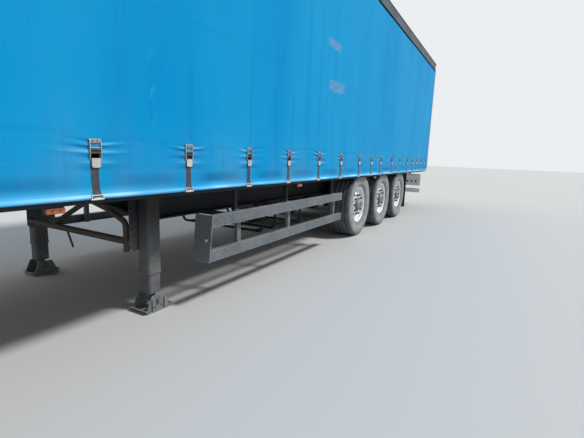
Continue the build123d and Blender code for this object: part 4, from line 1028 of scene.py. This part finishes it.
def roundWheel(count, number, radius, y):
    # the place of one of so many points on a ring
    angle = math.tau * count / number
    return Vector((math.sin(angle) * radius, y, math.cos(angle) * radius))


def addHub(bm, centre):
    cut = hubSettings
    for count in range(cut["nuts"]):
        start = centre + roundWheel(count + 0.5, cut["nuts"], cut["ring"], cut["faceY"])
        washer = Vector((0, cut["washer"], 0))
        addPin(bm, start, washer, cut["size"] * 1.18, 16)
        addPin(bm, start + washer, (0, cut["reach"] - cut["washer"], 0), cut["size"], 6,
               cut["size"] * 0.94)
        addPin(bm, start, (0, cut["studReach"], 0), cut["size"] * 0.52, 10)
    addTurned(bm, cut["collar"], centre, 40)
    addTurned(bm, cut["cap"], centre, 32)
    for count in range(cut["ribs"]):
        bolt, low, high = (centre + roundWheel(count, cut["ribs"], radius, y) for radius, y in (
            (0.113, 0.146), (0.0735, 0.162), (0.0730, 0.182)))
        addBolt(bm, bolt, (0, 1, 0), 0.009, 0.012)
        addRod(bm, low, high, 0.0045, 8)
    addPin(bm, centre + Vector((0, 0.1875, 0)), (0, 0.0035, 0), 0.026, 6)


def addValve(bm, centre):
    bend = Vector(hubSettings["valveBend"])
    stem = centre + Vector(hubSettings["valve"])
    addPin(bm, stem, bend, 0.0045, 8)
    addPin(bm, stem + bend, (-0.001, 0.011, 0), 0.006, 10)


for index, x in axles.items():
    wheelCentre = Vector((x, wheelY, wheelZ))
    wheelPair = (f"road_wheel_{index}_left", f"road_wheel_{index}_right")
    hubMesh = bmesh.new()
    addHub(hubMesh, wheelCentre)
    finishBoth(hubMesh, f"wheelNuts{index}", paints["hubBlack"], wheelPair)
    valveMesh = bmesh.new()
    addValve(valveMesh, wheelCentre)
    finishBoth(valveMesh, f"tyreValves{index}", paints["zincPlate"], wheelPair)
    makeTyre(index, "left", 1)
    makeTyre(index, "right", -1)
print("wheels made")


# Marker and rear lamps

markerX = [length * share for share in (0.4338, 0.2833, 0.0787, -0.1363, -0.3529)]


def makeMarkers():
    body = bmesh.new()
    lens = bmesh.new()
    spots = bmesh.new()
    for x in markerX:
        addBoxX(body, x, 0.055, (1.222, 0.960), (1.236, 1.000), 0.004)
        addBoxX(body, x, 0.025, (1.228, 0.998), (1.233, 1.045), 0.001)
        addBoxX(lens, x, 0.051, (1.234, 0.9635), (1.254, 0.9965), 0.007)
        for side in (-0.022, 0.022):
            addPin(spots, (x + side, 1.250, 0.980), (0, 0.0046, 0), 0.0085, 16)
    markers = finishBoth(lens, "markerLenses", lenses["amberLens"])
    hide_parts("side_markers")
    finishBoth(body, "markerBodies", rubbers["blackPlastic"])
    finishBoth(spots, "markerSpots", lenses["amberSpot"])


def makeRearLamps():
    body = bmesh.new()
    addBox(body, (-6.748, 0.705, 0.620), (-6.700, 1.115, 0.770), 0.012)
    housings = finishBoth(body, "lampHousings", rubbers["blackPlastic"])
    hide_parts("rear_lamps")
    for name, low, high in (("redLens", 0.715, 0.835), ("clearLens", 0.843, 0.943),
                            ("amberLens", 0.951, 1.105)):
        lens = bmesh.new()
        addBox(lens, (-6.770, low, 0.632), (-6.744, high, 0.758), 0.010)
        finishBoth(lens, "rear" + name.capitalize(), lenses[name])


makeMarkers()
makeRearLamps()
print("lamps made")


# Landing gear fittings

legSettings = dict(x=2.900, y=0.840, wingOut=0.773, boltColumns=(-0.112, 0.112), boltLow=0.560,
                   boltPitch=0.058, boltCount=8, pinZ=0.095, cheekOut=0.090, caseY=-0.977,
                   caseZ=0.960)


def makeLegFittings():
    # bolts on the wing, washers and nuts on the foot's pin, and bolts beside it
    cut = legSettings
    bm = bmesh.new()
    for column in cut["boltColumns"]:
        for count in range(cut["boltCount"]):
            z = cut["boltLow"] + count * cut["boltPitch"]
            addBolt(bm, (cut["x"] + column, cut["wingOut"], z), (0, 1, 0), 0.013, 0.011)
    for side in (-1, 1):
        pin = Vector((cut["x"], cut["y"] + side * cut["cheekOut"], cut["pinZ"]))
        out = Vector((0, side * 0.010, 0))
        addPin(bm, pin, out * 0.6, 0.027, 20)
        addPin(bm, pin + out, out, 0.019, 6)
        for x in (-0.036, 0.036):
            addBolt(bm, pin + Vector((x, 0, -0.048)), (0, side, 0), 0.010, 0.009)
    finishBoth(bm, "legFittings", paints["legPaint"])


def makeGearCase():
    # bolts and a round cover on the gear case, which only the right leg has
    cut = legSettings
    bm = bmesh.new()
    for x in (-0.045, 0.060):
        for z in (-0.045, 0.045):
            addBolt(bm, (cut["x"] + x, cut["caseY"], cut["caseZ"] + z), (0, -1, 0), 0.008, 0.008)
    addPin(bm, (cut["x"] + 0.015, cut["caseY"], cut["caseZ"]), (0, -0.013, 0), 0.028, 24)
    finishPiece(bm, "gearCaseBolts", "trailer", paints["legPaint"])


makeLegFittings()
makeGearCase()
print("landing gear made")


# Side guard fittings

guardSettings = dict(out=1.250, rails=((0.397, 0.500), (0.702, 0.800)), front=2.610, lean=0.040,
                     leanMiddle=0.6025, leanHigh=0.395, posts=(-0.1001, 1.2103, 2.1607),
                     boltZ=0.585, seam=1.245)


def makeGuardFittings():
    cut = guardSettings
    rivets = bmesh.new()
    for x in cut["posts"]:
        for low, high in cut["rails"]:
            for side in (-0.012, 0.012):
                addRivet(rivets, (x + side, cut["out"], (low + high) / 2 + side), (0, 1, 0), 0.007)
    finishBoth(rivets, "guardRivets", paints["guardSteel"])
    bolt = bmesh.new()
    nose = cut["front"] + cut["lean"] * (cut["leanMiddle"] - cut["boltZ"]) / cut["leanHigh"]
    addBolt(bolt, (nose, 1.200, cut["boltZ"]), (1, 0, 0.10), 0.013, 0.011)
    finishBoth(bolt, "noseBolts", paints["hookZinc"])
    seams = bmesh.new()
    for low, high in cut["rails"]:
        addBox(seams, (cut["seam"], cut["out"], low + 0.004),
               (cut["seam"] + 0.004, cut["out"] + 0.0008, high - 0.004))
    finishBoth(seams, "railSeams", rubbers["blackRubber"])


makeGuardFittings()
print("side guards made")


# Edge strips: roof rim, painted shadow lines as dark strips under the roof rim and the rail,
# rear pillar edges, lips under the side raves, and two cord hooks

trimSettings = dict(
    rear=-6.716, front=6.768, face=1.2751, rimLow=3.9775, shadowLow=3.771, shadowTop=3.811,
    # plain strips: low and high corner, rounding, finish, material slot
    roofRims=((-6.716, 1.2745, 3.9775), (6.768, 1.2775, 3.9985), 0.001, "trimWhite", "roof_cover"),
    pillarEdges=((-6.744, 1.2600, 1.050), (-6.664, 1.2860, 3.805), 0.004, "trimWhite",
                 "pale_paint"),
    raveLips=((-6.620, 1.2555, 1.002), (6.690, 1.2615, 1.0455), 0.001, "chassisPaint",
              "chassis_paint"),
    # a cord hook: half its width and height, down one side
    cordHook=((0.013, 1.0445), (0.010, 1.016)), cordHookTip=1.004, cordHookX=3.310,
)


def makeStrip(stem):
    low, high, bevel, finish, slot = trimSettings[stem]
    bm = bmesh.new()
    addBox(bm, low, high, bevel)
    finishBoth(bm, stem, paints[finish])


def makeShadowLines():
    # painted shadow: a black line under the white roof rim and a wavy black strip under the rail,
    # where shade falls
    cut = trimSettings
    bm = bmesh.new()
    addBox(bm, (cut["rear"], cut["face"], cut["rimLow"] - 0.020),
           (cut["front"], cut["face"] + 0.0012, cut["rimLow"]))
    darkStrip = addSheet(bm, 360, 2)
    for vert in darkStrip:
        x = cut["rear"] + (vert.co.x + 0.5) * (cut["front"] - cut["rear"])
        low = cut["shadowLow"] + 0.006 * wavy(x * 1.4, 3.3, 0)
        z = low + (vert.co.y + 0.5) * (cut["shadowTop"] - low)
        vert.co = (x, cut["face"] + 0.0006 + 0.0010 * wavy(x * 6, z * 9, 1), z)
    thickenStrip(bm, darkStrip, 0.0020)
    finishBoth(bm, "railShadowLines", rubbers["shadowLineBlack"])


def makeCordHooks():
    cut = trimSettings
    x = cut["cordHookX"]
    top, low = cut["cordHook"]
    outline = [(x + side, 1.2380, z) for side, z in (
        (-top[0], top[1]), top, low, (0, cut["cordHookTip"]), (-low[0], low[1]))]
    bm = bmesh.new()
    addExtrusion(bm, outline, (0, 0.004, 0))
    finishBoth(bm, "cordHooks", paints["leverCream"])


makeStrip("roofRims")
makeShadowLines()
makeStrip("pillarEdges")
makeStrip("raveLips")
makeCordHooks()
print("trim made")


# Rivets along the top rails, and bolts on the beams

rowSettings = dict(rivetStart=-6.55, rivetPitch=0.2, rivets=66, boltStart=-6.4275, boltPitch=0.5,
                   bolts=27, clearFrom=2.6, clearTo=3.8)


def makeRivets():
    cut = rowSettings
    rails = bmesh.new()
    for count in range(cut["rivets"]):
        x = cut["rivetStart"] + count * cut["rivetPitch"]
        addRivet(rails, (x, halfWidth, 3.955), (0, 1, 0), 0.006)
    finishBoth(rails, "railRivets", paints["zincPlate"])
    beams = bmesh.new()
    for count in range(cut["bolts"]):
        x = cut["boltStart"] + count * cut["boltPitch"]
        if x < cut["clearFrom"] or x > cut["clearTo"]:
            for side in (-0.024, 0.024):
                addBolt(beams, (x + side, 0.654, 1.130), (0, 1, 0), 0.010, 0.009)
    finishBoth(beams, "beamBolts", paints["chassisPaint"])


makeRivets()
print("rivets made")


# Suspension fittings

suspensionSettings = dict(y=0.600, top=0.1135, low=-0.0755, boltX=0.0735, boltY=0.024, eyeX=0.520,
                          eyeY=0.066, eyeZ=0.560, springX=-0.390, plates=(0.700, 0.508))


def makeSuspension():
    cut = suspensionSettings
    nuts = bmesh.new()
    plates = bmesh.new()
    for x in axles.values():
        for dx in (-cut["boltX"], cut["boltX"]):
            for dy in (-cut["boltY"], cut["boltY"]):
                for z, up in ((cut["top"], 1), (cut["low"], -1)):
                    place = (x + dx, cut["y"] + dy, wheelZ + z)
                    addBolt(nuts, place, (0, 0, up), 0.015, 0.016)
        for side in (-1, 1):
            eye = (x + cut["eyeX"], cut["y"] + side * cut["eyeY"], cut["eyeZ"])
            addBolt(nuts, eye, (0, side, 0), 0.024, 0.016)
        for z in cut["plates"]:
            addPin(plates, (x + cut["springX"], cut["y"], z), (0, 0, 0.008), 0.100, 32)
    finishBoth(nuts, "suspensionNuts", paints["wornSteel"])
    finishBoth(plates, "springPlates", paints["wornSteel"])


makeSuspension()
print("suspension made")


# Doors

doorSettings = dict(outer=-6.755, low=1.130, top=3.900, inside=0.006, edge=1.243, darkStrip=0.010,
                    hinges=(0.072, 0.336, 0.632, 0.928), bolts=(1.105, 1.140, 1.175))


def makeDoorFittings():
    cut = doorSettings
    bodies = ("door_leaf_left", "door_leaf_right")
    outer = cut["outer"]
    inside = cut["inside"]
    edge = cut["edge"]
    wide = cut["darkStrip"]
    low = cut["low"]
    top = cut["top"]
    darkStrip = bmesh.new()
    for start, end in (((inside, low), (inside + wide, top)), ((inside, top - wide), (edge, top)),
                       ((inside, low), (edge, low + wide))):
        addBox(darkStrip, (outer - 0.004, *start), (outer + 0.002, *end), 0.0015)
    finishBoth(darkStrip, "doorSeals", rubbers["blackRubber"], bodies)
    bolts = bmesh.new()
    for share in cut["hinges"]:
        for y in cut["bolts"]:
            addBolt(bolts, (outer - 0.008, y, low + share * (top - low)), (-1, 0, 0), 0.010, 0.007)
    finishBoth(bolts, "hingeBolts", paints["zincPlate"], bodies)


makeDoorFittings()
print("doors made")


# Front couplings

couplingSettings = dict(back=6.770, face=6.774, socketY=0.090, headY=0.250, headZ=1.128)


def makeCouplings():
    cut = couplingSettings
    face = cut["face"]
    plate = bmesh.new()
    addBox(plate, (cut["back"], -0.330, 1.065), (face, 0.330, 1.195), 0.0015)
    for y in (-0.300, 0.300):
        for z in (1.082, 1.178):
            addBolt(plate, (face, y, z), (1, 0, 0), 0.008, 0.006)
    board = finishPiece(plate, "couplingPlate", "trailer", paints["lampPlateGrey"])
    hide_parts("coupling_board")
    sockets = bmesh.new()
    for y in (-cut["socketY"], cut["socketY"]):
        addPin(sockets, (face, y, 1.130), (0.018, 0, 0), 0.036, 28, 0.034)
        addPin(sockets, (6.790, y, 1.134), (0.009, 0, 0), 0.033, 28, 0.030)
        addBox(sockets, (face, y - 0.014, 1.160), (6.798, y + 0.014, 1.174), 0.003)
    finishPiece(sockets, "electricSockets", "trailer", rubbers["blackPlastic"])
    for name, y in (("redCoupling", -cut["headY"]), ("yellowCoupling", cut["headY"])):
        head = bmesh.new()
        addPin(head, (face, y, cut["headZ"]), (0.022, 0, 0), 0.028, 28, 0.026)
        addPin(head, (6.794, y, cut["headZ"]), (0.005, 0, 0), 0.015, 20)
        addBox(head, (face, y - 0.012, 1.096), (6.792, y + 0.012, 1.112), 0.003)
        finishPiece(head, name + "Head", "trailer", lenses[name])


makeCouplings()
print("front couplings made")


# Floor, light and camera

def makeStage():
    bm = bmesh.new()
    bmesh.ops.create_grid(bm, x_segments=1, y_segments=1, size=90)
    floor = addObject("studioFloor", bm)
    coat = startMaterial("studioFloor")
    coat.plug((0.52, 0.52, 0.51), coat.shader.inputs["Base Color"])
    coat.plug(0.9, coat.shader.inputs["Roughness"])
    floor.data.materials.append(coat.material)


lightSettings = dict(
    skyColour=(0.86, 0.93, 1.0), skyStrength=0.41, backColour=(0.84, 0.86, 0.88),
    # direction, strength, angle in degrees
    keySun=((-0.28, 0.64, 1.0), 2.9, 9), fillSun=((0.45, -0.9, 1.1), 0.6, 60),
)


def makeLight():
    cut = lightSettings
    world = bpy.data.worlds.new("studioWorld")
    bpy.context.scene.world = world
    world.use_nodes = True
    sky = Coat(world.node_tree)
    back = sky.tree.nodes["Background"]
    sky.plug(cut["backColour"], back.inputs["Color"])
    sky.plug(1.0, back.inputs["Strength"])
    light = sky.add("Background", {"Color": cut["skyColour"], "Strength": cut["skyStrength"]})
    rays = sky.add("LightPath", {}).outputs
    seen = sky.calc("MAXIMUM", rays["Is Camera Ray"], rays["Is Glossy Ray"])
    seen = sky.calc("MAXIMUM", seen, rays["Is Transmission Ray"])
    mix = sky.add("MixShader", {0: seen, 1: light.outputs[0], 2: back.outputs[0]})
    sky.plug(mix.outputs[0], sky.tree.nodes["World Output"].inputs["Surface"])
    for name in ("keySun", "fillSun"):
        direction, strength, angle = cut[name]
        lamp = bpy.data.lights.new(name, "SUN")
        lamp.energy = strength
        lamp.angle = math.radians(angle)
        holder = linkObject(name, lamp)
        holder.rotation_mode = "QUATERNION"
        holder.rotation_quaternion = Vector(direction).to_track_quat("Z", "Y")


cameraSettings = dict(place=(4.996, 3.344, 1.326), yaw=0.5077, pitch=0.1671, roll=-0.038,
                      focal=379.17, wide=584, sensor=36)


def makeCamera():
    cut = cameraSettings
    yaw = cut["yaw"]
    pitch = cut["pitch"]
    roll = cut["roll"]
    ahead = Vector((-math.cos(yaw) * math.cos(pitch), -math.sin(yaw) * math.cos(pitch),
                    -math.sin(pitch)))
    right = ahead.cross(Vector((0, 0, 1))).normalized()
    down = ahead.cross(right)
    turnedRight = right * math.cos(roll) + down * math.sin(roll)
    turnedDown = down * math.cos(roll) - right * math.sin(roll)
    data = bpy.data.cameras.new("photoCamera")
    data.sensor_width = cut["sensor"]
    data.lens = cut["focal"] / cut["wide"] * cut["sensor"]
    data.clip_start = 0.05
    data.clip_end = 300
    camera = linkObject("photoCamera", data)
    axes = Matrix((turnedRight, -turnedDown, -ahead)).transposed()
    camera.rotation_mode = "QUATERNION"
    camera.rotation_quaternion = axes.to_quaternion()
    camera.location = cut["place"]
    bpy.context.scene.camera = camera


makeStage()
makeLight()
makeCamera()
bpy.context.scene.view_settings.view_transform = "Standard"

print("stage ready")
